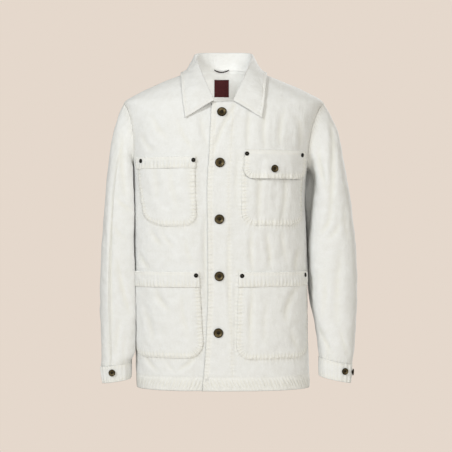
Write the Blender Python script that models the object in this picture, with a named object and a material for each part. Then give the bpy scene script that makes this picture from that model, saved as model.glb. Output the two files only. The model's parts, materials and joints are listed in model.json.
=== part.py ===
"""A white cotton work jacket, buttoned up and filled out with no wearer.

Metres, +Z up, front towards -Y, the viewer's right towards +X. Heights in the tables are above the
hem; the finished pieces are lowered so that the origin lies where the wearer's shoulders hold them.
Points on the body are given by their reach, the distance along the cloth from the centre line,
and their height. Names such as front_left are from the wearer's side.
"""

import math

import bmesh
import bpy
import numpy as np
from mathutils import Matrix, Vector


def table(names, *rows):
    """The named columns of a short table."""
    return dict(zip(names.split(), np.array(rows, float).T))


# Driving sizes.
HOLD_HEIGHT = 0.690  # the origin, between the shoulder seams, above the hem
CLOTH = 0.0016  # thickness of the twill with its seams
HEM_CLOTH = 0.0028  # where the cloth is turned up
HEM_HEIGHT = 0.027
SEAM_GAP = 0.0003
LAP = 0.025  # how far the under front passes the centre line
LAP_DIP = 0.0040  # how far the under front dips below the upper one
LAP_CLEAR = 0.005  # the dip is full this far past the upper front's edge
LAP_EASE = 0.030
UNDERARM_HEIGHT = 0.488
SHOULDER_HEIGHT = 0.636  # the outer end of the shoulder seam
NECK_SIDE_HEIGHT = 0.7075  # the inner end of the shoulder seam
NECK_FRONT_HEIGHT = 0.630
NECK_BACK_HEIGHT = 0.716
COLLAR_END = 0.020  # reach of the collar's front ends
NECK_CURVE = 0.35  # 0 is a straight neckline, 1 a quarter of an oval
ARMHOLE_FRONT = 0.047  # greatest inset of the armhole from the side line
ARMHOLE_BACK = 0.060
COLLAR_CLOTH = 0.0022
ROLL_WIDTH = 0.0062  # from the roll line to the top of the fall
ROLL_DROP = 0.0008
STAND_ROWS = (0.5, 0.88)  # shares of the stand's height
STAND_HOLLOW = 0.002
FALL_ROWS = (0.25, 0.5, 0.75, 1.0)  # shares of the fall's width
COLLAR_LIFT = 0.0030  # the fall's underside off the body
CUFF_CLOTH = 0.0022
POCKET_CLOTH = 0.0015
BUTTON_RADIUS = 0.0105
BUTTON_THICKNESS = 0.0042
SMALL_BUTTON_THICKNESS = 0.0035
FLAP_BUTTON_RADIUS = 0.0083
CUFF_BUTTON_RADIUS = 0.0075
RIVET_RADIUS = 0.0048
RIVET_THICKNESS = 0.0020

# Numbers of faces along each stretch.
SIDE_ROWS = 18
ARMHOLE_ROWS = 9
SHOULDER_COLUMNS = 6
NECK_COLUMNS = 5
NOTCH_COLUMNS = 2
SLEEVE_ROWS = 20
ROUND_SIDES = 14
SHARP_ANGLE = math.radians(40)
CHEST_COLUMNS = 9
HIP_COLUMNS = 12
POCKET_ROWS = 7
FLAP_ROWS = 4
CORNER_TURNS = np.radians([0, 30, 58, 90])

# Outlines of the body, level by level. Above the shoulders' outer ends the width is the ridge line.
BODY = table(
    "height half_width front_depth back_depth squareness sway",
    (0.000, 0.195, 0.108, 0.118, 2.5, 0.003),
    (0.080, 0.194, 0.110, 0.119, 2.5, 0.000),
    (0.180, 0.194, 0.112, 0.119, 2.5, -0.002),
    (0.270, 0.195, 0.113, 0.117, 2.5, -0.004),
    (0.360, 0.194, 0.116, 0.118, 2.5, -0.0058),
    (0.450, 0.193, 0.119, 0.123, 2.5, -0.0065),
    (0.520, 0.199, 0.118, 0.127, 2.4, -0.002),
    (0.580, 0.212, 0.108, 0.125, 2.3, 0.001),
    (0.620, 0.222, 0.096, 0.115, 2.2, 0.003),
    (0.636, 0.224, 0.090, 0.109, 2.2, 0.004),
    (0.652, 0.200, 0.083, 0.102, 2.1, 0.004),
    (0.670, 0.164, 0.074, 0.093, 2.0, 0.004),
    (0.688, 0.121, 0.062, 0.083, 2.0, 0.004),
    (0.706, 0.078, 0.050, 0.072, 2.0, 0.004),
    (0.722, 0.046, 0.036, 0.058, 2.0, 0.004),
)

# How far the upper front's edge passes the centre line.
FRONT_EDGE = table(
    "height lap",
    (0.000, 0.046),
    (0.060, 0.038),
    (0.180, 0.029),
    (0.330, 0.0255),
    (0.630, 0.0260),
)

# Each sleeve, from the armhole (station 0) to the cuff (station 12) and the cuff's edge (station 13).
SLEEVE_COLUMNS = "station outer_x outer_z inner_x inner_z mid_y half_front half_back"
SLEEVE_LEFT = table(
    SLEEVE_COLUMNS,
    (0, 0.228, 0.636, 0.193, 0.488, 0.000, 0.048, 0.060),
    (1, 0.243, 0.609, 0.197, 0.486, 0.001, 0.056, 0.063),
    (2, 0.259, 0.571, 0.202, 0.480, 0.002, 0.060, 0.065),
    (3, 0.273, 0.506, 0.206, 0.463, 0.002, 0.062, 0.066),
    (4, 0.286, 0.430, 0.203, 0.415, 0.001, 0.061, 0.064),
    (5, 0.293, 0.375, 0.198, 0.365, 0.000, 0.059, 0.062),
    (6, 0.299, 0.317, 0.1945, 0.310, -0.002, 0.057, 0.060),
    (7, 0.3025, 0.250, 0.1955, 0.250, -0.005, 0.055, 0.058),
    (8, 0.3015, 0.190, 0.200, 0.192, -0.009, 0.053, 0.055),
    (9, 0.298, 0.130, 0.209, 0.136, -0.014, 0.050, 0.051),
    (10, 0.295, 0.088, 0.2145, 0.098, -0.018, 0.047, 0.047),
    (11, 0.292, 0.066, 0.2160, 0.079, -0.020, 0.045, 0.045),
    (12, 0.290, 0.052, 0.2165, 0.068, -0.021, 0.044, 0.044),
    (13, 0.287, 0.011, 0.2165, 0.026, -0.024, 0.042, 0.042),
)
SLEEVE_RIGHT = table(
    SLEEVE_COLUMNS,
    (0, -0.220, 0.636, -0.195, 0.488, 0.000, 0.048, 0.060),
    (1, -0.231, 0.609, -0.2005, 0.486, 0.003, 0.058, 0.066),
    (2, -0.243, 0.571, -0.2025, 0.480, 0.006, 0.064, 0.070),
    (3, -0.254, 0.506, -0.2015, 0.463, 0.009, 0.069, 0.074),
    (4, -0.262, 0.420, -0.2015, 0.412, 0.010, 0.071, 0.074),
    (5, -0.266, 0.360, -0.2020, 0.355, 0.009, 0.071, 0.073),
    (6, -0.270, 0.300, -0.2025, 0.300, 0.007, 0.070, 0.071),
    (7, -0.2725, 0.240, -0.2020, 0.242, 0.003, 0.067, 0.068),
    (8, -0.2725, 0.180, -0.2015, 0.185, -0.002, 0.063, 0.063),
    (9, -0.270, 0.125, -0.2010, 0.132, -0.008, 0.058, 0.058),
    (10, -0.268, 0.084, -0.2010, 0.092, -0.013, 0.053, 0.053),
    (11, -0.2685, 0.062, -0.2015, 0.071, -0.016, 0.050, 0.050),
    (12, -0.270, 0.048, -0.2020, 0.057, -0.018, 0.048, 0.048),
    (13, -0.265, 0.011, -0.2030, 0.020, -0.020, 0.046, 0.046),
)

# The collar, from a front end (around 0) to the centre back (around 1): its roll line, its outer
# edge and how far the fall bulges. x is from the centre line.
COLLAR = table(
    "around roll_x roll_y roll_z edge_x edge_y edge_z bulge",
    (0.00, 0.0215, -0.0945, 0.6385, 0.083, -0.1015, 0.5950, 0.003),
    (0.10, 0.0280, -0.0880, 0.6520, 0.087, -0.0950, 0.6165, 0.004),
    (0.22, 0.0370, -0.0750, 0.6720, 0.091, -0.0850, 0.6420, 0.004),
    (0.36, 0.0470, -0.0540, 0.6970, 0.096, -0.0640, 0.6700, 0.005),
    (0.50, 0.0570, -0.0220, 0.7240, 0.099, -0.0350, 0.6905, 0.005),
    (0.62, 0.0625, 0.0120, 0.7410, 0.100, 0.0000, 0.7005, 0.005),
    (0.74, 0.0580, 0.0420, 0.7500, 0.088, 0.0380, 0.7010, 0.005),
    (0.87, 0.0340, 0.0600, 0.7540, 0.050, 0.0660, 0.7040, 0.005),
    (1.00, 0.0000, 0.0660, 0.7550, 0.000, 0.0770, 0.7050, 0.005),
)

# The largest folds, each a soft trough along a line as seen from the front or the back.
FOLD_COLUMNS = "x1 z1 x2 z2 width depth"
FRONT_FOLDS = table(
    FOLD_COLUMNS,
    (0.030, 0.622, -0.016, 0.522, 0.012, 0.0045),
    (0.063, 0.620, 0.057, 0.530, 0.015, 0.0030),
    (0.098, 0.618, 0.092, 0.530, 0.015, 0.0032),
    (0.136, 0.612, 0.126, 0.535, 0.016, 0.0030),
    (-0.152, 0.598, -0.122, 0.552, 0.016, 0.0030),
    (-0.096, 0.582, -0.060, 0.524, 0.015, 0.0028),
    (0.086, 0.460, 0.080, 0.364, 0.018, 0.0032),
    (0.136, 0.456, 0.130, 0.370, 0.016, 0.0026),
    (0.064, 0.338, 0.066, 0.262, 0.016, 0.0034),
    (0.096, 0.338, 0.104, 0.268, 0.016, 0.0036),
    (0.170, 0.305, 0.162, 0.252, 0.016, 0.0030),
    (0.066, 0.222, 0.063, 0.092, 0.015, 0.0034),
    (0.162, 0.221, 0.136, 0.155, 0.019, 0.0032),
    (0.014, 0.335, 0.020, 0.120, 0.011, 0.0030),
    (-0.036, 0.380, -0.034, 0.190, 0.012, 0.0034),
    (-0.156, 0.348, -0.130, 0.320, 0.016, 0.0030),
    (-0.182, 0.296, -0.158, 0.264, 0.015, 0.0028),
    (-0.142, 0.216, -0.114, 0.176, 0.018, 0.0030),
    (-0.092, 0.047, -0.058, 0.074, 0.014, 0.0032),
    (-0.170, 0.073, -0.142, 0.043, 0.014, 0.0028),
)
BACK_FOLDS = table(
    FOLD_COLUMNS,
    (-0.120, 0.600, -0.096, 0.440, 0.022, 0.0040),
    (0.128, 0.590, 0.100, 0.450, 0.020, 0.0036),
    (-0.050, 0.420, -0.062, 0.300, 0.022, 0.0036),
    (0.044, 0.400, 0.058, 0.270, 0.020, 0.0034),
    (-0.150, 0.330, -0.108, 0.262, 0.019, 0.0036),
    (0.158, 0.318, 0.118, 0.240, 0.019, 0.0034),
    (-0.104, 0.200, -0.118, 0.060, 0.022, 0.0034),
    (0.090, 0.190, 0.104, 0.050, 0.022, 0.0034),
    (0.006, 0.250, -0.006, 0.090, 0.019, 0.0028),
)
SLEEVE_LEFT_FOLDS = table(
    FOLD_COLUMNS,
    (0.240, 0.588, 0.238, 0.388, 0.016, 0.0050),
    (0.214, 0.520, 0.232, 0.440, 0.016, 0.0036),
    (0.222, 0.346, 0.240, 0.388, 0.015, 0.0036),
    (0.214, 0.132, 0.242, 0.078, 0.015, 0.0034),
    (0.262, 0.300, 0.254, 0.150, 0.019, 0.0030),
)
SLEEVE_RIGHT_FOLDS = table(
    FOLD_COLUMNS,
    (-0.243, 0.383, -0.241, 0.129, 0.012, 0.0034),
    (-0.230, 0.282, -0.203, 0.168, 0.015, 0.0040),
    (-0.232, 0.416, -0.200, 0.396, 0.014, 0.0034),
    (-0.224, 0.560, -0.214, 0.430, 0.016, 0.0040),
)

# Patch pockets: their sides' reach at the mouth and at the foot, and their heights.
POCKET_COLUMNS = "mouth_in mouth_out foot_in foot_out foot mouth corner band"
POCKET_NAMES = ("pocket_chest_left", "pocket_chest_right", "pocket_hip_left", "pocket_hip_right")
POCKETS = table(
    POCKET_COLUMNS,
    (0.0490, 0.2060, 0.0490, 0.2050, 0.3605, 0.5080, 0.028, 0.000),
    (0.0535, 0.2045, 0.0465, 0.1680, 0.3590, 0.5090, 0.030, 0.025),
    (0.0400, 0.2190, 0.0300, 0.2150, 0.0690, 0.2585, 0.032, 0.032),
    (0.0455, 0.2225, 0.0380, 0.2280, 0.0720, 0.2595, 0.036, 0.034),
)
POCKET_SIDES = (1, -1, 1, -1)
BANDS = {
    "pocket_chest_right": "band_chest_right",
    "pocket_hip_left": "band_hip_left",
    "pocket_hip_right": "band_hip_right",
}
POCKET_LIFT = 0.0012
BAND_CLOTH = 0.0012
BAND_LIFT = POCKET_LIFT + POCKET_CLOTH + 3 * SEAM_GAP + BAND_CLOTH
BAND_RISE = 0.0005
FLAP_TOP = 0.5250
FLAP_FOOT = 0.4620
FLAP_IN = 0.0520
FLAP_OUT = 0.2085
FLAP_CORNER = 0.018
FLAP_LIFT = 0.0031
FLAP_STAND = 0.0030  # how far the flap's foot stands off
BUTTON_HEIGHTS = (0.6065, 0.4963, 0.3739, 0.2502, 0.1273)
BUTTON_REACH = (-0.0020, -0.0002, 0.0005, -0.0013, -0.0060)
FLAP_BUTTON = (0.1173, 0.4836)
# Cuffs, in degrees round the wrist from its outer side towards the front: where the upper end of
# the band stops, how far the under end goes past it, and where the buttons sit.
CUFF_START = {"left": 41, "right": 28}
CUFF_UNDER = 30
CUFF_COLUMNS = 24
CUFF_STATIONS = (12.015, 12.45, 13)
CUFF_BUTTONS = {
    "button_cuff_left": ("left", 65),
    "button_cuff_left_spare": ("left", 376),
    "button_cuff_right": ("right", 82),
}
RIVET_DROP = 0.0075  # below the mouth
RIVET_INSET = (0.0072, 0.0040, 0.0072, 0.0064)
RIVET_OUTER_INSET = (0.0185, 0.0220, 0.0160, 0.0130)
FLAP_RIVET_DROP = 0.0100
LABEL_WIDTH = 0.034
LABEL_HEIGHT = 0.038
LABEL_TOP = 0.697
LOOP_HALF = 0.017
LOOP_SAG = 0.005
LOOP_THICKNESS = 0.0026
LOOP_SIDES = 6
LOOP_TOP = 0.7165
LOOP_OFF = 0.0031  # from the neck seam to the loop's middle
LABEL_CLOTH = 0.0010
NECK_TRIM_X = -0.0012  # the middle of the loop and the label

COTTON = ("cotton", (0.83, 0.82, 0.78), 0.9, 0.0)
BRASS = ("aged_brass", (0.17, 0.12, 0.06), 0.45, 1.0)
DARK_METAL = ("dark_metal", (0.05, 0.04, 0.035), 0.45, 1.0)
BURGUNDY = ("burgundy_weave", (0.10, 0.015, 0.015), 0.8, 0.0)


def along(rows, key, name, at):
    """A table's column `name`, read smoothly at values of its column `key`."""
    known, value = rows[key], rows[name]
    slope = np.gradient(value, known)
    at = np.clip(at, known[0], known[-1])
    low = np.clip(np.searchsorted(known, at, side="right") - 1, 0, len(known) - 2)
    span = known[low + 1] - known[low]
    part = (at - known[low]) / span
    rest = 1 - part
    ends = value[low] * (1 + 2 * part) * rest**2 + value[low + 1] * part**2 * (3 - 2 * part)
    return ends + span * (slope[low] * part * rest**2 - slope[low + 1] * part**2 * rest)


def ease(start, end, value):
    """0 before start, 1 past end and smooth between."""
    part = np.clip((value - start) / (end - start), 0, 1)
    return part * part * (3 - 2 * part)


def unit(vectors):
    return vectors / np.maximum(np.linalg.norm(vectors, axis=-1, keepdims=True), 1e-12)


def signed_power(value, power):
    return np.sign(value) * np.abs(value) ** power


def outline(height, turn):
    """Points of the body at a height: turn 0 is the front centre, 0.5 the side, 1 the back centre."""
    angle = math.pi * turn
    power = 2 / along(BODY, "height", "squareness", height)
    across = along(BODY, "height", "half_width", height) * signed_power(np.sin(angle), power)
    front = along(BODY, "height", "front_depth", height)
    back = along(BODY, "height", "back_depth", height)
    depth = np.where(np.cos(angle) > 0, front, back)
    x = along(BODY, "height", "sway", height) + across
    return np.stack([x, -depth * signed_power(np.cos(angle), power), height + 0 * turn], -1)


OUTLINE_STEPS = np.linspace(0, 1, 161)
HALF_STEP = 80


def girths(height):
    """How far along the cloth each outline step is from the front centre line."""
    points = outline(np.full(OUTLINE_STEPS.shape, height), OUTLINE_STEPS)
    return np.concatenate([[0], np.cumsum(np.linalg.norm(np.diff(points, axis=0), axis=1))])


def side_reach(height, back=False):
    """The reach of the side line, from the front or the back centre line."""
    lengths = girths(height)
    return lengths[-1] - lengths[HALF_STEP] if back else lengths[HALF_STEP]


def fullness(x, y, z):
    """1 on the body's surface, less inside and more outside."""
    power = along(BODY, "height", "squareness", z)
    front = along(BODY, "height", "front_depth", z)
    back = along(BODY, "height", "back_depth", z)
    across = np.abs(x - along(BODY, "height", "sway", z)) / along(BODY, "height", "half_width", z)
    depth = np.abs(y) / np.where(y < 0, front, back)
    return (across**power + depth**power) ** (1 / power)


def body_slope(points):
    """How fast the fullness grows at each point."""
    x, y, z = points[..., 0], points[..., 1], points[..., 2]
    step = 0.0005
    slopes = [
        fullness(x + step, y, z) - fullness(x - step, y, z),
        fullness(x, y + step, z) - fullness(x, y - step, z),
        fullness(x, y, z + step) - fullness(x, y, z - step),
    ]
    return np.stack(slopes, -1) / (2 * step)


def body_normal(points):
    """The outward direction of the body's surface."""
    return unit(body_slope(points))


def clear_of_body(points, least):
    """Moves points outwards until each is at least `least` off the body."""
    for _ in range(3):
        slope = body_slope(points)
        steep = np.linalg.norm(slope, axis=-1)
        off = (fullness(points[..., 0], points[..., 1], points[..., 2]) - 1) / steep
        points = points + slope / steep[..., None] * np.maximum(least - off, 0)[..., None]
    return points


def folded(points, rows):
    """How far the troughs of `rows` sink each point."""
    x, z = points[..., 0], points[..., 2]
    sunk = np.zeros(x.shape)
    for x1, z1, x2, z2, width, depth in zip(*(rows[name] for name in FOLD_COLUMNS.split())):
        run_x, run_z = x2 - x1, z2 - z1
        part = np.clip(((x - x1) * run_x + (z - z1) * run_z) / (run_x**2 + run_z**2), 0, 1)
        off = np.hypot(x - x1 - part * run_x, z - z1 - part * run_z)
        sunk += depth * np.exp(-((off / width) ** 2)) * np.sin(math.pi * (0.2 + 0.6 * part))
    return sunk


def on_body(side, reach, height, lift=0.0, back=False):
    """Points and outward directions on the body: side is 1 for the wearer's left, -1 for the right."""
    reach, height = np.broadcast_arrays(np.asarray(reach, float), np.asarray(height, float))
    turns = np.empty(reach.shape)
    for index in np.ndindex(reach.shape):
        lengths = girths(height[index])
        distance = lengths[-1] - reach[index] if back else abs(reach[index])
        turns[index] = np.interp(distance, lengths, OUTLINE_STEPS)
        if not back:
            turns[index] = math.copysign(turns[index], reach[index])
    points = outline(height, side * turns)
    normals = body_normal(points)
    sunk = folded(points, BACK_FOLDS if back else FRONT_FOLDS)
    facing = ease(0.0, 0.5, np.abs(normals[..., 1]))
    dip = 0.0
    if side < 0 and not back:
        past = reach - along(FRONT_EDGE, "height", "lap", height) - LAP_CLEAR
        dip = LAP_DIP * (1 - ease(0, LAP_EASE, past))
    return points + normals * np.asarray(lift - sunk * facing - dip)[..., None], normals


def make_material(look):
    name, colour, roughness, metallic = look
    material = bpy.data.materials.get(name)
    if material is None:
        material = bpy.data.materials.new(name)
        material.use_nodes = True
        shader = material.node_tree.nodes["Principled BSDF"]
        shader.inputs["Base Color"].default_value = (*colour, 1)
        shader.inputs["Roughness"].default_value = roughness
        shader.inputs["Metallic"].default_value = metallic
        material.diffuse_color = (*colour, 1)
    return material


def finish(name, bm, look):
    """Turns the mesh outwards, lowers it to the part's own frame and adds it to the scene."""
    if bm.calc_volume(signed=True) < 0:
        bmesh.ops.reverse_faces(bm, faces=bm.faces)
    bmesh.ops.translate(bm, verts=bm.verts, vec=(0, 0, -HOLD_HEIGHT))
    mesh = bpy.data.meshes.new(name)
    bm.to_mesh(mesh)
    bm.free()
    mesh.shade_smooth()
    mesh.set_sharp_from_angle(angle=SHARP_ANGLE)
    mesh.materials.append(make_material(look))
    piece = bpy.data.objects.new(name, mesh)
    bpy.context.scene.collection.objects.link(piece)


def wall(name, outer, normals, thickness, look=COTTON, tube=False):
    """One closed wall of cloth from a grid of points on its outer side."""
    rows, columns = outer.shape[:2]
    thickness = np.broadcast_to(thickness, (rows, columns))
    inner = outer - normals * thickness[..., None]
    bm = bmesh.new()
    skins = [
        [[bm.verts.new(point) for point in row] for row in skin] for skin in (outer, inner)
    ]
    across = columns if tube else columns - 1
    for skin, order in zip(skins, (1, -1)):
        for i in range(rows - 1):
            for j in range(across):
                k = (j + 1) % columns
                corners = [skin[i][j], skin[i][k], skin[i + 1][k], skin[i + 1][j]]
                bm.faces.new(corners[::order])
    near, far = skins
    for i in (0, rows - 1):
        for j in range(across):
            k = (j + 1) % columns
            bm.faces.new([near[i][j], near[i][k], far[i][k], far[i][j]])
    if not tube:
        for j in (0, columns - 1):
            for i in range(rows - 1):
                bm.faces.new([near[i][j], near[i + 1][j], far[i + 1][j], far[i][j]])
    bmesh.ops.recalc_face_normals(bm, faces=bm.faces)
    finish(name, bm, look)


def reach_of(across, height, back=False):
    """The reach of the point at this height that lies `across` from the centre line."""
    lengths = girths(height)
    width = along(BODY, "height", "half_width", height)
    power = along(BODY, "height", "squareness", height)
    turn = math.asin(min(across / width, 1) ** (power / 2)) / math.pi
    if back:
        return lengths[-1] - np.interp(1 - turn, OUTLINE_STEPS, lengths)
    return np.interp(turn, OUTLINE_STEPS, lengths)


def armhole_edge(back):
    """(reach, height) up the armhole, from the underarm to the shoulder."""
    part = np.linspace(0, 1, ARMHOLE_ROWS + 1)
    rise = SHOULDER_HEIGHT - UNDERARM_HEIGHT
    height = UNDERARM_HEIGHT + rise * (1 - np.cos(math.pi * part)) / 2
    inset = (ARMHOLE_BACK if back else ARMHOLE_FRONT) * np.sin(math.pi * part) ** 0.8
    reach = np.array([side_reach(at, back) for at in height]) - inset - SEAM_GAP / 2
    return np.stack([reach, height], -1)


def side_edge(back):
    """(reach, height) up the side seam, with the turned-up hem as its first rows."""
    height = np.concatenate(
        [[0, HEM_HEIGHT], np.linspace(HEM_HEIGHT + 0.004, UNDERARM_HEIGHT, SIDE_ROWS)[:-1]]
    )
    reach = np.array([side_reach(at, back) for at in height]) - SEAM_GAP / 2
    return np.stack([reach, height], -1)


def shoulder_edge(back):
    """(reach, height) along the shoulder seam, from its outer end to the neck."""
    height = np.linspace(SHOULDER_HEIGHT, NECK_SIDE_HEIGHT, SHOULDER_COLUMNS + 1)
    reach = np.array([side_reach(at, back) for at in height]) - SEAM_GAP / 2
    return np.stack([reach, height], -1)


def neck_edge(back):
    """(reach, height) from the shoulder seam along the neckline."""
    angle = np.linspace(0, math.pi / 2, NECK_COLUMNS + 1)
    start = along(BODY, "height", "half_width", NECK_SIDE_HEIGHT)
    if back:
        height = NECK_SIDE_HEIGHT + (NECK_BACK_HEIGHT - NECK_SIDE_HEIGHT) * np.sin(angle) ** 2
        across = start * np.cos(angle)
    else:
        part = angle / angle[-1]
        drop = NECK_CURVE * np.sin(angle) + (1 - NECK_CURVE) * part
        height = NECK_SIDE_HEIGHT - (NECK_SIDE_HEIGHT - NECK_FRONT_HEIGHT) * drop
        across = COLLAR_END + (start - COLLAR_END) * np.cos(angle)
    reach = np.array([reach_of(*at, back) for at in zip(across, height)])
    reach[0] = side_reach(NECK_SIDE_HEIGHT, back) - SEAM_GAP / 2
    if back:
        return np.stack([reach, height], -1)
    notch = np.linspace(COLLAR_END, -LAP, NOTCH_COLUMNS + 1)[1:]
    flat = np.stack([notch, np.full(notch.shape, NECK_FRONT_HEIGHT)], -1)
    return np.concatenate([np.stack([reach, height], -1), flat])


def resample(edge, count):
    """`count` points evenly spaced along a line of points."""
    lengths = np.concatenate([[0], np.cumsum(np.linalg.norm(np.diff(edge, axis=0), axis=1))])
    at = np.linspace(0, lengths[-1], count)
    return np.stack([np.interp(at, lengths, edge[:, k]) for k in range(edge.shape[1])], -1)


def panel_grid(back, upper=False):
    """The (reach, height) grid of a front or of half a back; upper is the front that laps over."""
    left = np.concatenate([side_edge(back), armhole_edge(back)])
    top = np.concatenate([shoulder_edge(back), neck_edge(back)[1:]])
    rise = left[:, 1] / left[-1, 1]
    lengths = np.concatenate([[0], np.cumsum(np.linalg.norm(np.diff(left, axis=0), axis=1))])
    share = np.where(left[:, 1] <= HEM_HEIGHT + 0.004, rise * left[-1, 1] / top[-1, 1],
                     lengths / lengths[-1])
    inner = top[-1, 0] + 0 * share
    if upper:
        inner = -along(FRONT_EDGE, "height", "lap", share * top[-1, 1])
        inner[-1] = top[-1, 0]
    right = np.stack([inner, share * top[-1, 1]], -1)
    bottom = resample(np.array([left[0], right[0]]), len(top))
    edges = [evened(edge, back) for edge in (left, right, bottom, top)]
    return evened(blend_patch(*edges, share), back, undo=True)


def evened(edge, back, undo=False):
    """Reach turned into the mean of reach and distance from the centre line, or back again.

    A grid blended in this measure keeps off the neckline, where the levels grow narrow quickly.
    """
    result = np.array(edge)
    half = slice(HALF_STEP, None) if back else slice(HALF_STEP + 1)
    for index in np.ndindex(edge.shape[:-1]):
        value, height = edge[index]
        lengths = girths(height)
        reach = (lengths[-1] - lengths if back else lengths)[half]
        width = along(BODY, "height", "half_width", height)
        power = 2 / along(BODY, "height", "squareness", height)
        across = width * np.sin(math.pi * OUTLINE_STEPS[half]) ** power
        mean = (reach + across) / 2
        order = slice(None, None, -1) if back else slice(None)
        known, wanted = (mean, reach) if undo else (reach, mean)
        found = np.interp(abs(value), known[order], wanted[order])
        result[index][0] = math.copysign(found, value)
    return result


def blend_patch(left, right, bottom, top, share):
    """A grid that its four edges bound, each row at its own share of the way up."""
    t = share[:, None, None]
    s = np.linspace(0, 1, len(bottom))[None, :, None]
    sides = (1 - s) * left[:, None] + s * right[:, None]
    ends = (1 - t) * bottom[None] + t * top[None]
    corners = (1 - t) * ((1 - s) * left[0] + s * right[0])
    corners = corners + t * ((1 - s) * left[-1] + s * right[-1])
    return sides + ends - corners


def hem_thickness(height):
    return np.where(height < HEM_HEIGHT + 0.002, HEM_CLOTH, CLOTH)


def make_fronts():
    """Both fronts; returns the points of each one's neckline and armhole."""
    edges = {}
    for name, side in (("front_left", 1), ("front_right", -1)):
        grid = panel_grid(back=False, upper=side > 0)
        points, normals = on_body(side, grid[..., 0], grid[..., 1])
        wall(name, points, normals, hem_thickness(grid[..., 1]))
        edges[side] = edges_of(points, normals)
    return edges


def edges_of(points, normals):
    """The armhole, from the underarm up, and the neckline, from the shoulder to the centre."""
    return {
        "armhole": points[-ARMHOLE_ROWS - 1:, 0],
        "armhole_out": normals[-ARMHOLE_ROWS - 1:, 0],
        "neck": points[-1, SHOULDER_COLUMNS:],
        "neck_out": normals[-1, SHOULDER_COLUMNS:],
    }


def make_back():
    """The back; returns its edges by side, and the points of its inner side."""
    grid = panel_grid(back=True)
    halves = {side: on_body(side, grid[..., 0], grid[..., 1], back=True) for side in (1, -1)}
    points, normals = (
        np.concatenate([halves[-1][k], halves[1][k][:, ::-1][:, 1:]], axis=1) for k in (0, 1)
    )
    height = np.concatenate([grid[..., 1], grid[:, ::-1, 1][:, 1:]], axis=1)
    thickness = hem_thickness(height)
    wall("back", points, normals, thickness)
    edges = {side: edges_of(*halves[side]) for side in (1, -1)}
    return edges, points - normals * thickness[..., None]


def grid_normals(points, tube=False):
    """Directions across a grid of points; row by column, with columns wrapping on a tube."""
    down = np.gradient(points, axis=0)
    if tube:
        over = (np.roll(points, -1, axis=1) - np.roll(points, 1, axis=1)) / 2
    else:
        over = np.gradient(points, axis=1)
    return unit(np.cross(over, down))


def sleeve_ring(rows, station, angle):
    """A ring of the sleeve; angle 0 is its outer side and a quarter turn its front."""
    read = {name: along(rows, "station", name, station) for name in SLEEVE_COLUMNS.split()}
    outer = np.array([read["outer_x"], read["mid_y"], read["outer_z"]])
    inner = np.array([read["inner_x"], read["mid_y"], read["inner_z"]])
    across = signed_power(np.cos(angle), 0.9)[:, None]
    over = signed_power(np.sin(angle), 0.9)
    half = np.where(over > 0, read["half_front"], read["half_back"])
    ring = (outer + inner) / 2 + across * (outer - inner) / 2
    ring[:, 1] -= over * half
    return ring


def sleeve_points(rows, loop, folds):
    """The sleeve's outer points: the armhole loop, eased into the sleeve's own rings."""
    count = len(loop)
    angle = 2 * math.pi * np.arange(count) / count
    stations = np.linspace(0, 12, SLEEVE_ROWS + 1)
    first = sleeve_ring(rows, 0, angle)
    towards = (1 + np.cos(angle))[:, None] / 2
    grid = []
    for station in stations:
        ring = sleeve_ring(rows, station, angle)
        outer_move = ring[0] - first[0]
        inner_move = ring[count // 2] - first[count // 2]
        carried = loop + towards * outer_move + (1 - towards) * inner_move
        own = ease(0, 4.5, station)
        grid.append((1 - own) * carried + own * ring)
    grid = np.array(grid)
    normals = grid_normals(grid, tube=True)
    middle = grid.mean(axis=1, keepdims=True)
    outward = np.sign(np.sum(normals * (grid - middle), axis=-1).mean())
    normals = normals * outward
    facing = ease(0.1, 0.6, -normals[..., 1]) * ease(0.5, 2.5, stations)[:, None]
    return grid - normals * (folded(grid, folds) * facing)[..., None], normals


def make_sleeve(name, side, rows, folds, fronts, backs):
    front, back = fronts[side], backs[side]
    loop = np.concatenate([front["armhole"][::-1], back["armhole"][1:-1]])
    out = np.concatenate([front["armhole_out"][::-1], back["armhole_out"][1:-1]])
    loop[0] = (front["armhole"][-1] + back["armhole"][-1]) / 2
    loop[ARMHOLE_ROWS] = (front["armhole"][0] + back["armhole"][0]) / 2
    points, normals = sleeve_points(rows, loop, folds)
    leaving = unit(points[1] - points[0])
    share = np.clip(np.sum(out * normals[0], -1) * 1.5 + 0.2, 0, 1)[:, None]
    normals[0] = unit(share * out + (1 - share) * normals[0])
    points[0] = points[0] + leaving * 2.5 * SEAM_GAP
    wall(name, points, normals, CLOTH, tube=True)


def make_cuff(wearer, rows):
    """A band round the wrist; its upper end stops on the outer side, over the under end."""
    start = math.radians(CUFF_START[wearer])
    stop = start + 2 * math.pi + math.radians(CUFF_UNDER)
    angle = np.linspace(start, stop, CUFF_COLUMNS + 1)
    lap = 1 - ease(start + math.radians(CUFF_UNDER + 8), start + math.radians(80), angle)
    grid = []
    for station in CUFF_STATIONS:
        ring = sleeve_ring(rows, station, angle)
        away = unit((ring - ring[:-1].mean(axis=0)) * [1, 1, 0])
        grid.append(ring + away * (2 * SEAM_GAP + (CUFF_CLOTH + 2 * SEAM_GAP) * lap)[:, None])
    grid = np.array(grid)
    normals = grid_normals(grid)
    middle = grid.mean(axis=1, keepdims=True)
    normals *= np.sign(np.sum(normals * (grid - middle), axis=-1).mean())
    wall("cuff_" + wearer, grid, normals, CUFF_CLOTH)
    return grid[1], normals[1]


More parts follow.
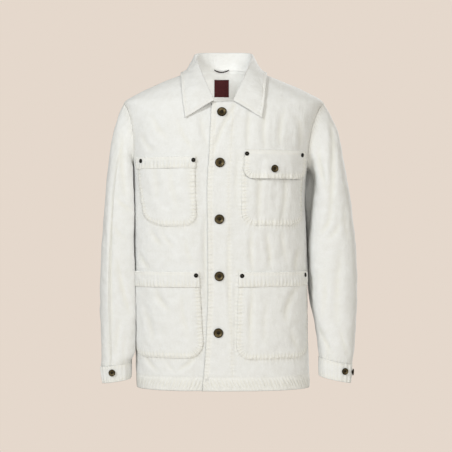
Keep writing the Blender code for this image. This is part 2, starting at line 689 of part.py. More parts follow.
def make_collar(fronts, backs):
    """One wall: up the stand from the neckline, over the roll and down the fall."""
    seam, out = (
        np.concatenate([
            fronts[-1][key][NECK_COLUMNS::-1], backs[-1][key][1:],
            backs[1][key][-2::-1], fronts[1][key][1:NECK_COLUMNS + 1],
        ])
        for key in ("neck", "neck_out")
    )
    half = 2 * NECK_COLUMNS
    around = np.concatenate([np.arange(half), np.arange(half, -1, -1)]) / half
    side = np.where(np.arange(len(around)) < half, -1.0, 1.0)
    side[half] = 0.0
    read = {name: along(COLLAR, "around", name, around) for name in COLLAR}
    centre = along(BODY, "height", "sway", NECK_SIDE_HEIGHT)
    roll = np.stack([side * read["roll_x"] + centre, read["roll_y"], read["roll_z"]], -1)
    edge = np.stack([side * read["edge_x"] + centre, read["edge_y"], read["edge_z"]], -1)
    leaving = unit(np.cross(np.gradient(seam, axis=0), out))
    inward = -unit(out * [1, 1, 0])
    base = seam + leaving * 2 * SEAM_GAP - out * COLLAR_CLOTH
    least = COLLAR_CLOTH + COLLAR_LIFT
    bulge = body_normal(edge)
    rows = [base]
    for part in STAND_ROWS:
        rows.append(base + (roll - base) * part + inward * STAND_HOLLOW * (1 - part))
    rows.append(roll)
    over = roll - inward * ROLL_WIDTH - [0, 0, ROLL_DROP]
    rows.append(over)
    for part in FALL_ROWS:
        swell = 4 * part * (1 - part) * read["bulge"][:, None]
        fall = over + (edge - over) * part + bulge * swell
        rows.append(clear_of_body(fall, least * ease(-0.2, 0.3, part)))
    grid = np.array(rows)
    normals = grid_normals(grid)
    if np.sum(normals[1] * inward) < 0:
        normals = -normals
    normals[0] = -out
    wall("collar", grid, normals, COLLAR_CLOTH)
    return seam


def pocket_grid(row, columns, heights):
    """(reach, height) of a patch whose lower corners are rounded."""
    grid = []
    whole = row["mouth"] - row["foot"]
    for height in heights:
        part = (height - row["foot"]) / whole
        low, high = row["foot_in"], row["foot_out"]
        low = low + (row["mouth_in"] - low) * part
        high = high + (row["mouth_out"] - high) * part
        below = max(row["corner"] - (height - row["foot"]), 0)
        inset = row["corner"] - math.sqrt(max(row["corner"] ** 2 - below**2, 0))
        reach = np.linspace(low + inset, high - inset, columns + 1)
        grid.append(np.stack([reach, np.full(columns + 1, height)], -1))
    return np.array(grid)


def corner_heights(row, rows):
    """Heights round the lower corners, then evenly up to the mouth."""
    bends = [row["foot"] + row["corner"] * (1 - math.cos(turn)) for turn in CORNER_TURNS]
    return bends + list(np.linspace(bends[-1], row["mouth"], rows)[1:])


def make_pockets():
    for index, name in enumerate(POCKET_NAMES):
        row = {key: values[index] for key, values in POCKETS.items()}
        columns = CHEST_COLUMNS if "chest" in name else HIP_COLUMNS
        heights = corner_heights(row, POCKET_ROWS)
        grid = pocket_grid(row, columns, heights)
        side = POCKET_SIDES[index]
        points, normals = on_body(side, grid[..., 0], grid[..., 1], POCKET_LIFT + POCKET_CLOTH)
        wall(name, points, normals, POCKET_CLOTH)
        if row["band"]:
            heights = np.linspace(row["mouth"] - row["band"], row["mouth"] + BAND_RISE, 3)
            grid = pocket_grid({**row, "corner": 0}, columns, heights)
            points, normals = on_body(side, grid[..., 0], grid[..., 1], BAND_LIFT)
            wall(BANDS[name], points, normals, BAND_CLOTH)


def flap_lift(drop):
    """How far the flap's outer side is off the body; drop is 0 at its seam and 1 at its foot."""
    return FLAP_LIFT + POCKET_CLOTH + FLAP_STAND * drop**1.5


def make_flap():
    row = {
        "foot_in": FLAP_IN, "foot_out": FLAP_OUT, "mouth_in": FLAP_IN,
        "mouth_out": FLAP_OUT, "foot": FLAP_FOOT, "mouth": FLAP_TOP, "corner": FLAP_CORNER,
    }
    grid = pocket_grid(row, CHEST_COLUMNS, corner_heights(row, FLAP_ROWS))
    drop = (FLAP_TOP - grid[..., 1]) / (FLAP_TOP - FLAP_FOOT)
    points, normals = on_body(1, grid[..., 0], grid[..., 1], flap_lift(drop))
    wall("flap_chest_left", points, normals, POCKET_CLOTH)


def turned(name, profile, place, direction, look):
    """A round piece turned from (radius, height) steps, seated at a place and facing a direction."""
    bm = bmesh.new()
    steps = [bm.verts.new((radius, 0, height)) for radius, height in profile]
    rim = [bm.edges.new(pair) for pair in zip(steps, steps[1:])]
    bmesh.ops.spin(
        bm, geom=steps + rim, axis=(0, 0, 1), cent=(0, 0, 0), steps=ROUND_SIDES,
        angle=2 * math.pi, use_merge=True,
    )
    bmesh.ops.remove_doubles(bm, verts=bm.verts, dist=0.00002)
    bmesh.ops.recalc_face_normals(bm, faces=bm.faces)
    turn = Vector(direction).to_track_quat("Z", "Y").to_matrix().to_4x4()
    bmesh.ops.transform(bm, matrix=Matrix.Translation(Vector(place)) @ turn, verts=bm.verts)
    finish(name, bm, look)


def button_profile(radius, thickness):
    """A dished metal button, from its back to the hollow of its face."""
    return [
        (0, 0), (0.50 * radius, 0), (0.55 * radius, 0.30 * thickness),
        (0.97 * radius, 0.42 * thickness), (radius, 0.72 * thickness),
        (0.86 * radius, thickness), (0.62 * radius, 0.86 * thickness),
        (0.30 * radius, 0.52 * thickness), (0, 0.50 * thickness),
    ]


def rivet_profile(radius, thickness):
    return [
        (0, 0), (radius, 0), (radius, 0.35 * thickness),
        (0.60 * radius, 0.75 * thickness), (0, thickness),
    ]


def make_buttons():
    for number, (reach, height) in enumerate(zip(BUTTON_REACH, BUTTON_HEIGHTS), 1):
        place, out = on_body(1, reach, height, SEAM_GAP)
        profile = button_profile(BUTTON_RADIUS, BUTTON_THICKNESS)
        turned(f"button_front_{number}", profile, place, out, BRASS)
    drop = (FLAP_TOP - FLAP_BUTTON[1]) / (FLAP_TOP - FLAP_FOOT)
    place, out = on_body(1, *FLAP_BUTTON, flap_lift(drop) + 2 * SEAM_GAP)
    profile = button_profile(FLAP_BUTTON_RADIUS, SMALL_BUTTON_THICKNESS)
    turned("button_flap", profile, place, out, BRASS)


def make_cuff_buttons(cuffs):
    """A button on the upper end of each cuff, and on the left one another on the under end."""
    profile = button_profile(CUFF_BUTTON_RADIUS, SMALL_BUTTON_THICKNESS)
    for name, (wearer, turn) in CUFF_BUTTONS.items():
        ring, normals = cuffs[wearer]
        at = (turn - CUFF_START[wearer]) / (360 + CUFF_UNDER) * CUFF_COLUMNS
        low = int(at)
        part = at - low
        place = (1 - part) * ring[low] + part * ring[low + 1]
        out = unit((1 - part) * normals[low] + part * normals[low + 1])
        turned(name, profile, place + out * 2 * SEAM_GAP, out, BRASS)


def make_label(inside):
    """The woven label on the inside of the back, below the neck seam."""
    middle = inside.shape[1] // 2
    grid = []
    for height in np.linspace(LABEL_TOP - LABEL_HEIGHT, LABEL_TOP, 6):
        lines = inside[:, middle - 1:middle + 2].transpose(1, 2, 0)
        near_x, near_y = (
            [np.interp(height, line[2], line[k]) for line in lines] for k in (0, 1)
        )
        x = NECK_TRIM_X + np.linspace(-LABEL_WIDTH / 2, LABEL_WIDTH / 2, 5)
        y = np.interp(x, near_x, near_y) - 3 * SEAM_GAP
        grid.append(np.stack([x, y, np.full(x.shape, height)], -1))
    grid = np.array(grid)
    normals = grid_normals(grid)
    normals *= np.sign(normals[..., 1:2])
    wall("neck_label", grid, normals, LABEL_CLOTH, BURGUNDY)


def make_loop(seam):
    """The hanging loop: a flat cord bowed below the collar seam, its ends up against the stand."""
    half = seam[NECK_COLUMNS:-NECK_COLUMNS]
    part = np.linspace(-1, 1, 9)
    x = NECK_TRIM_X + LOOP_HALF * part
    y = np.interp(x, half[:, 0], half[:, 1]) - LOOP_OFF
    path = np.stack([x, y, LOOP_TOP - LOOP_SAG * (1 - part**2)], -1)
    around = 2 * math.pi * np.arange(LOOP_SIDES) / LOOP_SIDES
    ring = np.stack([0 * around, np.cos(around) / 2, np.sin(around)], -1) * LOOP_THICKNESS / 2
    bm = bmesh.new()
    rings = [[bm.verts.new(point + step) for step in ring] for point in path]
    for one, two in zip(rings, rings[1:]):
        for i in range(LOOP_SIDES):
            j = (i + 1) % LOOP_SIDES
            bm.faces.new([one[i], one[j], two[j], two[i]])
    bm.faces.new(rings[0])
    bm.faces.new(rings[-1])
    bmesh.ops.recalc_face_normals(bm, faces=bm.faces)
    finish("hanger_loop", bm, BURGUNDY)


def make_rivets():
    for index, name in enumerate(POCKET_NAMES):
        side = POCKET_SIDES[index]
        flap = name == "pocket_chest_left"
        for where, inset in (("in", RIVET_INSET[index]), ("out", -RIVET_OUTER_INSET[index])):
            reach = POCKETS["mouth_" + where][index] + inset
            height = POCKETS["mouth"][index] - RIVET_DROP
            lift = BAND_LIFT + 2 * SEAM_GAP
            if flap:
                height = FLAP_TOP - FLAP_RIVET_DROP
                lift = FLAP_LIFT + POCKET_CLOTH + 2 * SEAM_GAP
            place, out = on_body(side, reach, height, lift)
            label = name.replace("pocket_", "rivet_") + "_" + where
            turned(label, rivet_profile(RIVET_RADIUS, RIVET_THICKNESS), place, out, DARK_METAL)


def main():
    for piece in list(bpy.data.objects):
        bpy.data.objects.remove(piece)
    fronts = make_fronts()
    backs, inside = make_back()
    make_sleeve("sleeve_left", 1, SLEEVE_LEFT, SLEEVE_LEFT_FOLDS, fronts, backs)
    make_sleeve("sleeve_right", -1, SLEEVE_RIGHT, SLEEVE_RIGHT_FOLDS, fronts, backs)
    cuffs = {
        "left": make_cuff("left", SLEEVE_LEFT),
        "right": make_cuff("right", SLEEVE_RIGHT),
    }
    make_cuff_buttons(cuffs)
    make_loop(make_collar(fronts, backs))
    make_label(inside)
    make_pockets()
    make_flap()
    make_buttons()
    make_rivets()


main()
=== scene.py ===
# %% [markdown]
# # A white cotton work jacket, buttoned up and filled out with no wearer
#
# The jacket is cut like a French work coat: two fronts, one back, set-in sleeves with cuffs, a
# turn-down collar, four patch pockets, aged brass buttons and dark rivets. The CAD frame holds
# plain walls of cloth. Here each wall is made again as a fine sheet that follows the same surface,
# with the folds, puckers, stitches and twill of the real cloth, and the small metal pieces get
# their real profiles. All of it is at real size in metres, with +Z up and the front facing -Y.

import json
import math

import bmesh
import bpy
import numpy as np
from mathutils import Matrix, Vector

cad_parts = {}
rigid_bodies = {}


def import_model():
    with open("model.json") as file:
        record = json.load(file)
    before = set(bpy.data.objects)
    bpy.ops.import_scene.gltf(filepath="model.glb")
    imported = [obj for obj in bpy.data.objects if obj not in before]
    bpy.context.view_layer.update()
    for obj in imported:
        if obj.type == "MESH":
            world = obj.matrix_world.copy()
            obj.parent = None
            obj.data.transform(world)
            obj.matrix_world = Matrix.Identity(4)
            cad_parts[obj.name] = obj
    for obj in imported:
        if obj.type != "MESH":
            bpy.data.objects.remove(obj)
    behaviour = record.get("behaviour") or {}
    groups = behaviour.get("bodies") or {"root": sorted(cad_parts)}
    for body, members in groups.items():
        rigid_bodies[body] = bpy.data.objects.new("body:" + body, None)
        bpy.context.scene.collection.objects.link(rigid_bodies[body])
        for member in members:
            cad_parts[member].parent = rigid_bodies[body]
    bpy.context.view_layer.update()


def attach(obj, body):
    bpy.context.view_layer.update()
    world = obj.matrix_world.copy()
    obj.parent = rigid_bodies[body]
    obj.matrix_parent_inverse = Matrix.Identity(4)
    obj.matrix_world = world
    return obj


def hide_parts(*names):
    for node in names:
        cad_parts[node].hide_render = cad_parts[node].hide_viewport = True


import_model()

# %% [markdown]
# ## The surface that the cloth hangs on
#
# A jacket that is filled out stands off its seams like a soft tube. The real shape could be
# sculpted, but a tube is easier to keep true: each level is a rounded oval whose width, front
# depth, back depth and squareness come from a short table, read smoothly between its rows. A point
# of the cloth is given the way a cutter gives it, by its height above the hem and by its reach,
# the distance along the cloth from the centre line. So pockets, stitches and buttons can be placed
# in cloth sizes.

# %% Sizes shared by all the pieces
HOLD_HEIGHT = 0.690  # the origin, between the shoulder seams, above the hem
SEAM_GAP = 0.0003
LAP = 0.025  # how far the under front passes the centre line
LAP_DIP = 0.0040  # how far the under front dips below the upper one
LAP_CLEAR = 0.005  # the dip is full this far past the upper front's edge
LAP_EASE = 0.030  # and has gone this far past that
UNDERARM_HEIGHT = 0.488
SHOULDER_HEIGHT = 0.636
NECK_SIDE_HEIGHT = 0.7075
NECK_FRONT_HEIGHT = 0.630
NECK_BACK_HEIGHT = 0.716
COLLAR_END = 0.020
NECK_CURVE = 0.35
ARMHOLE_FRONT = 0.047
ARMHOLE_BACK = 0.060
LEFT = 1  # the wearer's left, on the viewer's right
RIGHT = -1


def table(names, *rows):
    """The named columns of a short table."""
    return dict(zip(names.split(), np.array(rows, float).T))


BODY = table(
    "height half_width front_depth back_depth squareness sway",
    (0.000, 0.195, 0.108, 0.118, 2.5, 0.003),
    (0.080, 0.194, 0.110, 0.119, 2.5, 0.000),
    (0.180, 0.194, 0.112, 0.119, 2.5, -0.002),
    (0.270, 0.195, 0.113, 0.117, 2.5, -0.004),
    (0.360, 0.194, 0.116, 0.118, 2.5, -0.0058),
    (0.450, 0.193, 0.119, 0.123, 2.5, -0.0065),
    (0.520, 0.199, 0.118, 0.127, 2.4, -0.002),
    (0.580, 0.212, 0.108, 0.125, 2.3, 0.001),
    (0.620, 0.222, 0.096, 0.115, 2.2, 0.003),
    (0.636, 0.224, 0.090, 0.109, 2.2, 0.004),
    (0.652, 0.200, 0.083, 0.102, 2.1, 0.004),
    (0.670, 0.164, 0.074, 0.093, 2.0, 0.004),
    (0.688, 0.121, 0.062, 0.083, 2.0, 0.004),
    (0.706, 0.078, 0.050, 0.072, 2.0, 0.004),
    (0.722, 0.046, 0.036, 0.058, 2.0, 0.004),
)
# How far the upper front's edge passes the centre line.
FRONT_EDGE = table(
    "height lap",
    (0.000, 0.046),
    (0.060, 0.038),
    (0.180, 0.029),
    (0.330, 0.0255),
    (0.630, 0.0260),
)
print("levels of the body:", len(BODY["height"]))


# %% Reading a table smoothly
def along(rows, key, name, at):
    """A table's column `name`, read smoothly at values of its column `key`."""
    known, value = rows[key], rows[name]
    slope = np.gradient(value, known)
    at = np.clip(at, known[0], known[-1])
    low = np.clip(np.searchsorted(known, at, side="right") - 1, 0, len(known) - 2)
    span = known[low + 1] - known[low]
    part = (at - known[low]) / span
    rest = 1 - part
    ends = value[low] * (1 + 2 * part) * rest**2 + value[low + 1] * part**2 * (3 - 2 * part)
    return ends + span * (slope[low] * part * rest**2 - slope[low + 1] * part**2 * rest)


def body_at(name, height):
    return along(BODY, "height", name, height)


def lap_at(height):
    """How far the upper front's edge passes the centre line at a height."""
    return along(FRONT_EDGE, "height", "lap", height)


def ease(start, end, value):
    """0 before start, 1 past end and smooth between."""
    part = np.clip((value - start) / (end - start), 0, 1)
    return part * part * (3 - 2 * part)


def fading(off, width):
    """1 on a row, less with the distance from it."""
    return np.exp(-((off / width) ** 2))


def run_of(points):
    """How far each point of a line, or of each column of a grid, is along it from the first."""
    steps = np.linalg.norm(np.diff(points, axis=0), axis=-1)
    return np.concatenate([0 * steps[:1], np.cumsum(steps, axis=0)])


def unit(vectors):
    return vectors / np.maximum(np.linalg.norm(vectors, axis=-1, keepdims=True), 1e-12)


def signed_power(value, power):
    return np.sign(value) * np.abs(value) ** power


# %% Points and directions on the body
OUTLINE_STEPS = np.linspace(0, 1, 161)
HALF_STEP = 80  # the outline step that is the side
SLOPE_STEP = 0.0005


def outline(height, turn):
    """Points of the body at a height; turn 0 is the front centre, 0.5 the side and 1 the back."""
    angle = math.pi * turn
    ahead = np.cos(angle) > 0
    power = 2 / body_at("squareness", height)
    across = body_at("half_width", height) * signed_power(np.sin(angle), power)
    depth = np.where(ahead, body_at("front_depth", height), body_at("back_depth", height))
    x = body_at("sway", height) + across
    return np.stack([x, -depth * signed_power(np.cos(angle), power), height + 0 * turn], -1)


def girths(height):
    """For each height, how far along the cloth every outline step is from the front centre."""
    height = np.asarray(height, float).reshape(-1, 1)
    points = outline(height + 0 * OUTLINE_STEPS, OUTLINE_STEPS + 0 * height)
    return run_of(points.swapaxes(0, 1)).T


def turn_of(reach, height, back):
    """Where round the body each (reach, height) lies."""
    lengths = girths(height)
    wanted = np.abs(reach).reshape(-1, 1)
    if back:
        wanted = lengths[:, -1:] - wanted
    low = np.clip((lengths <= wanted).sum(axis=1) - 1, 0, len(OUTLINE_STEPS) - 2)
    rows = np.arange(len(low))
    start, end = lengths[rows, low], lengths[rows, low + 1]
    part = (wanted[:, 0] - start) / (end - start)
    turn = (low + np.clip(part, 0, 1)) / (len(OUTLINE_STEPS) - 1)
    return (turn if back else np.copysign(turn, reach.ravel())).reshape(reach.shape)


def side_reach(height, back=False):
    """The reach of the side line, from the front or the back centre line."""
    lengths = girths(height)
    return lengths[:, -1] - lengths[:, HALF_STEP] if back else lengths[:, HALF_STEP]


def fullness(x, y, z):
    """1 on the body's surface, less inside and more outside."""
    power = body_at("squareness", z)
    across = np.abs(x - body_at("sway", z)) / body_at("half_width", z)
    depth = np.abs(y) / np.where(y < 0, body_at("front_depth", z), body_at("back_depth", z))
    return (across**power + depth**power) ** (1 / power)


def body_slope(points):
    """How fast the fullness grows at each point."""
    steps = SLOPE_STEP * np.eye(3)
    slopes = [fullness(*np.moveaxis(points + step, -1, 0))
              - fullness(*np.moveaxis(points - step, -1, 0)) for step in steps]
    return np.stack(slopes, -1) / (2 * SLOPE_STEP)


def clear_of_body(points, least):
    """Moves points outwards until each is at least `least` off the body."""
    for _ in range(3):
        slope = body_slope(points)
        steep = np.linalg.norm(slope, axis=-1)
        off = (fullness(*np.moveaxis(points, -1, 0)) - 1) / steep
        points = points + slope / steep[..., None] * np.maximum(least - off, 0)[..., None]
    return points


def bare_body(side, reach, height, back=False):
    """Points and outward directions of the smooth body, before any fold."""
    reach, height = np.broadcast_arrays(np.asarray(reach, float), np.asarray(height, float))
    points = outline(height, side * turn_of(reach, height, back))
    return points, unit(body_slope(points))


# %% [markdown]
# ## Where the panels end
#
# The fronts and the back are flat cuts with a side seam, an armhole, a shoulder seam and a
# neckline. Each edge is a curve in (reach, height), and a grid is stretched between the four of
# them, so rows of the mesh run like the threads of the cloth. A plain grid with a hole cut in it
# would leave ragged steps at the armhole; this way the edge of the mesh is the edge of the cut.


# %% The edges of a panel
def reach_of(across, height, back=False):
    """The reach of the point at this height that lies `across` from the centre line."""
    share = min(across / body_at("half_width", height), 1)
    turn = math.asin(share ** (body_at("squareness", height) / 2)) / math.pi
    lengths = girths(height)[0]
    if back:
        return lengths[-1] - np.interp(1 - turn, OUTLINE_STEPS, lengths)
    return np.interp(turn, OUTLINE_STEPS, lengths)


def armhole_edge(back, rows):
    """(reach, height) up the armhole, from the underarm to the shoulder."""
    part = np.linspace(0, 1, rows + 1)
    rise = SHOULDER_HEIGHT - UNDERARM_HEIGHT
    height = UNDERARM_HEIGHT + rise * (1 - np.cos(math.pi * part)) / 2
    inset = (ARMHOLE_BACK if back else ARMHOLE_FRONT) * np.sin(math.pi * part) ** 0.8
    return np.stack([side_reach(height, back) - inset - SEAM_GAP / 2, height], -1)


def seam_edge(back, low, high, steps):
    """(reach, height) up the side seam, or along the shoulder seam to the neck."""
    height = np.linspace(low, high, steps + 1)
    return np.stack([side_reach(height, back) - SEAM_GAP / 2, height], -1)


def neck_edge(back, columns, notch_columns):
    """(reach, height) from the shoulder seam along the neckline to the centre, or to the lap."""
    angle = np.linspace(0, math.pi / 2, columns + 1)
    start = body_at("half_width", NECK_SIDE_HEIGHT)
    if back:
        height = NECK_SIDE_HEIGHT + (NECK_BACK_HEIGHT - NECK_SIDE_HEIGHT) * np.sin(angle) ** 2
        across = start * np.cos(angle)
    else:
        drop = NECK_CURVE * np.sin(angle) + (1 - NECK_CURVE) * angle / angle[-1]
        height = NECK_SIDE_HEIGHT - (NECK_SIDE_HEIGHT - NECK_FRONT_HEIGHT) * drop
        across = COLLAR_END + (start - COLLAR_END) * np.cos(angle)
    reach = np.array([reach_of(*at, back) for at in zip(across, height)])
    reach[0] = side_reach(NECK_SIDE_HEIGHT, back)[0] - SEAM_GAP / 2
    edge = np.stack([reach, height], -1)
    if back:
        return edge
    notch = np.linspace(COLLAR_END, -LAP, notch_columns + 1)[1:]
    flat = np.stack([notch, np.full(notch.shape, NECK_FRONT_HEIGHT)], -1)
    return np.concatenate([edge, flat])


def read_line(line, run, at):
    """The points at distances along a line of points."""
    return np.stack([np.interp(at, run, column) for column in line.T], -1)


def resample(edge, count):
    """`count` points evenly spaced along a line of points."""
    run = run_of(edge)
    return read_line(edge, run, np.linspace(0, run[-1], count))


# %% A grid between four edges
def evened(edge, back, undo=False):
    """Reach turned into the mean of reach and distance from the centre line, or back again.

    A grid blended in this measure keeps off the neckline, where the levels grow narrow quickly.
    """
    result = np.array(edge)
    half = slice(HALF_STEP, None) if back else slice(HALF_STEP + 1)
    order = slice(None, None, -1) if back else slice(None)
    flat = result.reshape(-1, 2)
    lengths = girths(flat[:, 1])
    for row, length in zip(flat, lengths):
        reach = (length[-1] - length if back else length)[half]
        sine = np.sin(math.pi * OUTLINE_STEPS[half])
        across = body_at("half_width", row[1]) * sine ** (2 / body_at("squareness", row[1]))
        mean = (reach + across) / 2
        known, wanted = (mean, reach) if undo else (reach, mean)
        row[0] = math.copysign(np.interp(abs(row[0]), known[order], wanted[order]), row[0])
    return result


def blend_patch(left, right, bottom, top, share):
    """A grid that its four edges bound, each row at its own share of the way up."""
    t = share[:, None, None]
    s = np.linspace(0, 1, len(bottom))[None, :, None]
    sides = (1 - s) * left[:, None] + s * right[:, None]
    ends = (1 - t) * bottom[None] + t * top[None]
    corners = (1 - t) * ((1 - s) * left[0] + s * right[0])
    return sides + ends - corners - t * ((1 - s) * left[-1] + s * right[-1])


def panel_grid(back, upper, counts):
    """The (reach, height) grid of a front or of half a back; upper is the front that laps over."""
    side_rows, armhole_rows, shoulder_columns, neck_columns, notch_columns = counts
    side = seam_edge(back, 0, UNDERARM_HEIGHT, side_rows)[:-1]
    left = np.concatenate([side, armhole_edge(back, armhole_rows)])
    shoulder = seam_edge(back, SHOULDER_HEIGHT, NECK_SIDE_HEIGHT, shoulder_columns)
    top = np.concatenate([shoulder, neck_edge(back, neck_columns, notch_columns)[1:]])
    run = run_of(left)
    share = run / run[-1]
    inner = top[-1, 0] + 0 * share
    if upper:
        inner = -lap_at(share * top[-1, 1])
        inner[-1] = top[-1, 0]
    right = np.stack([inner, share * top[-1, 1]], -1)
    bottom = resample(np.array([left[0], right[0]]), len(top))
    edges = [evened(edge, back) for edge in (left, right, bottom, top)]
    return evened(blend_patch(*edges, share), back, undo=True)


FRONT_COUNTS = (190, 66, 58, 40, 26)  # side, armhole, shoulder, neck and notch
BACK_COUNTS = (130, 48, 46, 32, 0)
front_grids = {side: panel_grid(False, side == LEFT, FRONT_COUNTS) for side in (LEFT, RIGHT)}
back_grid = panel_grid(True, False, BACK_COUNTS)
print("front grid", front_grids[LEFT].shape[:2], "back half grid", back_grid.shape[:2])

# %% [markdown]
# ## Folds listed one by one
#
# The jacket was folded and then filled out, so its cotton keeps soft troughs: drag lines that run
# from the top button and the underarms, upright ripples below the shoulders, and short slanting
# breaks at the waist and above the hem. A cloth simulation would invent others, so each one that
# shows is written down as a line on the front or the back, with its width, its depth (below zero
# it is a ridge) and how far its middle bows sideways. Each fades out towards both of its ends.

# %% The folds of the body
FOLD_COLUMNS = "x1 z1 x2 z2 width depth bow"
FRONT_FOLDS = table(
    FOLD_COLUMNS,
    (0.030, 0.622, -0.016, 0.522, 0.0095, 0.0042, 0.006),
    (0.044, 0.626, 0.004, 0.530, 0.0090, -0.0016, 0.006),
    (0.063, 0.626, 0.057, 0.530, 0.0110, 0.0030, 0.003),
    (0.080, 0.622, 0.076, 0.534, 0.0090, -0.0014, 0.003),
    (0.098, 0.622, 0.092, 0.530, 0.0110, 0.0032, 0.003),
    (0.136, 0.612, 0.126, 0.535, 0.0120, 0.0030, 0.004),
    (0.165, 0.598, 0.172, 0.530, 0.0130, 0.0026, -0.005),
    (-0.152, 0.598, -0.122, 0.552, 0.0120, 0.0030, 0.003),
    (-0.132, 0.606, -0.104, 0.556, 0.0100, -0.0014, 0.003),
    (-0.096, 0.586, -0.060, 0.524, 0.0115, 0.0030, 0.004),
    (-0.046, 0.600, -0.030, 0.530, 0.0115, 0.0022, 0.003),
    (-0.176, 0.560, -0.150, 0.520, 0.0110, 0.0026, 0.003),
    (0.086, 0.500, 0.080, 0.364, 0.0130, 0.0034, 0.003),
    (0.110, 0.470, 0.106, 0.380, 0.0110, -0.0014, 0.003),
    (0.136, 0.480, 0.130, 0.370, 0.0120, 0.0028, -0.003),
    (0.036, 0.520, 0.030, 0.400, 0.0110, 0.0022, 0.002),
    (0.064, 0.342, 0.066, 0.262, 0.0115, 0.0036, 0.002),
    (0.096, 0.344, 0.104, 0.268, 0.0120, 0.0038, -0.003),
    (0.132, 0.350, 0.140, 0.285, 0.0120, 0.0026, 0.003),
    (0.170, 0.310, 0.162, 0.252, 0.0120, 0.0032, 0.003),
    (0.066, 0.222, 0.063, 0.092, 0.0115, 0.0036, 0.003),
    (0.098, 0.200, 0.092, 0.110, 0.0120, 0.0018, 0.003),
    (0.162, 0.225, 0.136, 0.155, 0.0140, 0.0034, 0.005),
    (0.150, 0.130, 0.168, 0.086, 0.0120, 0.0022, 0.003),
    (0.014, 0.335, 0.020, 0.120, 0.0080, 0.0028, 0.002),
    (0.028, 0.240, 0.030, 0.060, 0.0080, 0.0018, 0.002),
    (-0.036, 0.385, -0.034, 0.190, 0.0090, 0.0034, 0.002),
    (-0.050, 0.350, -0.050, 0.270, 0.0090, -0.0012, 0.002),
    (-0.156, 0.350, -0.130, 0.318, 0.0115, 0.0032, 0.003),
    (-0.130, 0.346, -0.104, 0.312, 0.0100, 0.0022, 0.003),
    (-0.182, 0.300, -0.158, 0.264, 0.0110, 0.0030, 0.003),
    (-0.078, 0.330, -0.064, 0.276, 0.0110, 0.0022, 0.003),
    (-0.142, 0.218, -0.114, 0.176, 0.0130, 0.0032, 0.004),
    (-0.088, 0.205, -0.072, 0.120, 0.0125, 0.0024, 0.004),
    (-0.170, 0.180, -0.150, 0.110, 0.0130, 0.0024, -0.003),
    (-0.092, 0.047, -0.058, 0.074, 0.0100, 0.0034, 0.002),
    (-0.170, 0.074, -0.142, 0.043, 0.0105, 0.0030, 0.002),
    (-0.122, 0.064, -0.100, 0.040, 0.0090, 0.0020, 0.002),
    (-0.110, 0.480, -0.096, 0.400, 0.0130, 0.0024, 0.003),
    (-0.150, 0.500, -0.140, 0.420, 0.0130, 0.0022, -0.003),
    (-0.070, 0.500, -0.066, 0.420, 0.0120, 0.0018, 0.002),
)
BACK_FOLDS = table(
    FOLD_COLUMNS,
    (-0.120, 0.600, -0.096, 0.440, 0.0170, 0.0040, 0.006),
    (-0.088, 0.590, -0.070, 0.470, 0.0140, -0.0018, 0.004),
    (0.128, 0.590, 0.100, 0.450, 0.0160, 0.0038, -0.006),
    (0.092, 0.580, 0.074, 0.480, 0.0130, -0.0016, -0.004),
    (-0.160, 0.560, -0.140, 0.500, 0.0120, 0.0030, 0.003),
    (0.166, 0.556, 0.146, 0.500, 0.0120, 0.0028, -0.003),
    (-0.050, 0.420, -0.062, 0.300, 0.0165, 0.0036, 0.004),
    (0.044, 0.400, 0.058, 0.270, 0.0150, 0.0034, -0.004),
    (0.006, 0.430, 0.002, 0.330, 0.0140, 0.0020, 0.003),
    (-0.150, 0.330, -0.108, 0.262, 0.0140, 0.0036, 0.004),
    (-0.166, 0.292, -0.128, 0.240, 0.0110, -0.0016, 0.004),
    (0.158, 0.318, 0.118, 0.240, 0.0140, 0.0034, -0.004),
    (0.170, 0.280, 0.136, 0.226, 0.0110, 0.0022, -0.003),
    (-0.104, 0.200, -0.118, 0.060, 0.0160, 0.0034, 0.003),
    (-0.060, 0.150, -0.066, 0.040, 0.0130, 0.0020, 0.003),
    (0.090, 0.190, 0.104, 0.050, 0.0160, 0.0034, -0.003),
    (0.006, 0.250, -0.006, 0.090, 0.0140, 0.0028, 0.003),
    (0.150, 0.120, 0.146, 0.040, 0.0120, 0.0022, 0.002),
)


FOLD_SHARP, FOLD_DEEP = 0.52, 0.60  # what the tables' widths and depths are scaled by
LIP, LIP_OFF, LIP_WIDTH = 0.3, 1.9, 0.8  # of the depth, and of the scaled width
DEEP_FOLD = 0.0020  # from here on, the material takes a fold as deep


def folded(points, rows):
    """How far the troughs of `rows` sink each point; a low lip stands on both sides of each."""
    x, z = points[..., 0], points[..., 2]
    sunk = np.zeros(x.shape)
    columns = [rows[name] for name in FOLD_COLUMNS.split()]
    for x1, z1, x2, z2, width, depth, bow in zip(*columns):
        run_x, run_z = x2 - x1, z2 - z1
        length = math.hypot(run_x, run_z)
        part = ((x - x1) * run_x + (z - z1) * run_z) / length**2
        over = ((x - x1) * run_z - (z - z1) * run_x) / length
        inside = np.clip(part, 0, 1)
        past = (part - inside) * length
        off = np.hypot(over - bow * 4 * inside * (1 - inside), past) / (FOLD_SHARP * width)
        fade = np.sin(math.pi * (0.12 + 0.76 * inside))
        lip = LIP * fading(off - LIP_OFF, LIP_WIDTH)
        sunk += FOLD_DEEP * depth * (np.exp(-(off**1.7)) - lip) * fade
    return sunk


def fold_depth(points, rows):
    """How deep each point lies in a fold, from 0 to 1, for the material's painted fold shade."""
    return np.clip(folded(points, rows) / DEEP_FOLD, 0, 1)


print("folds:", len(FRONT_FOLDS["x1"]), "in front,", len(BACK_FOLDS["x1"]), "behind")

# %% [markdown]
# ## The crumple of washed cotton
#
# Between the folds the cloth is never quite flat: washing leaves a low, soft unevenness. It could
# be a bump in the material alone, but it also bends the edges, so a little of it goes into the
# mesh. A few dozen soft waves with fixed directions and lengths add up to it, the same at each
# run.


# %% Low waves across the cloth
CRUMPLE_WAVES = 36


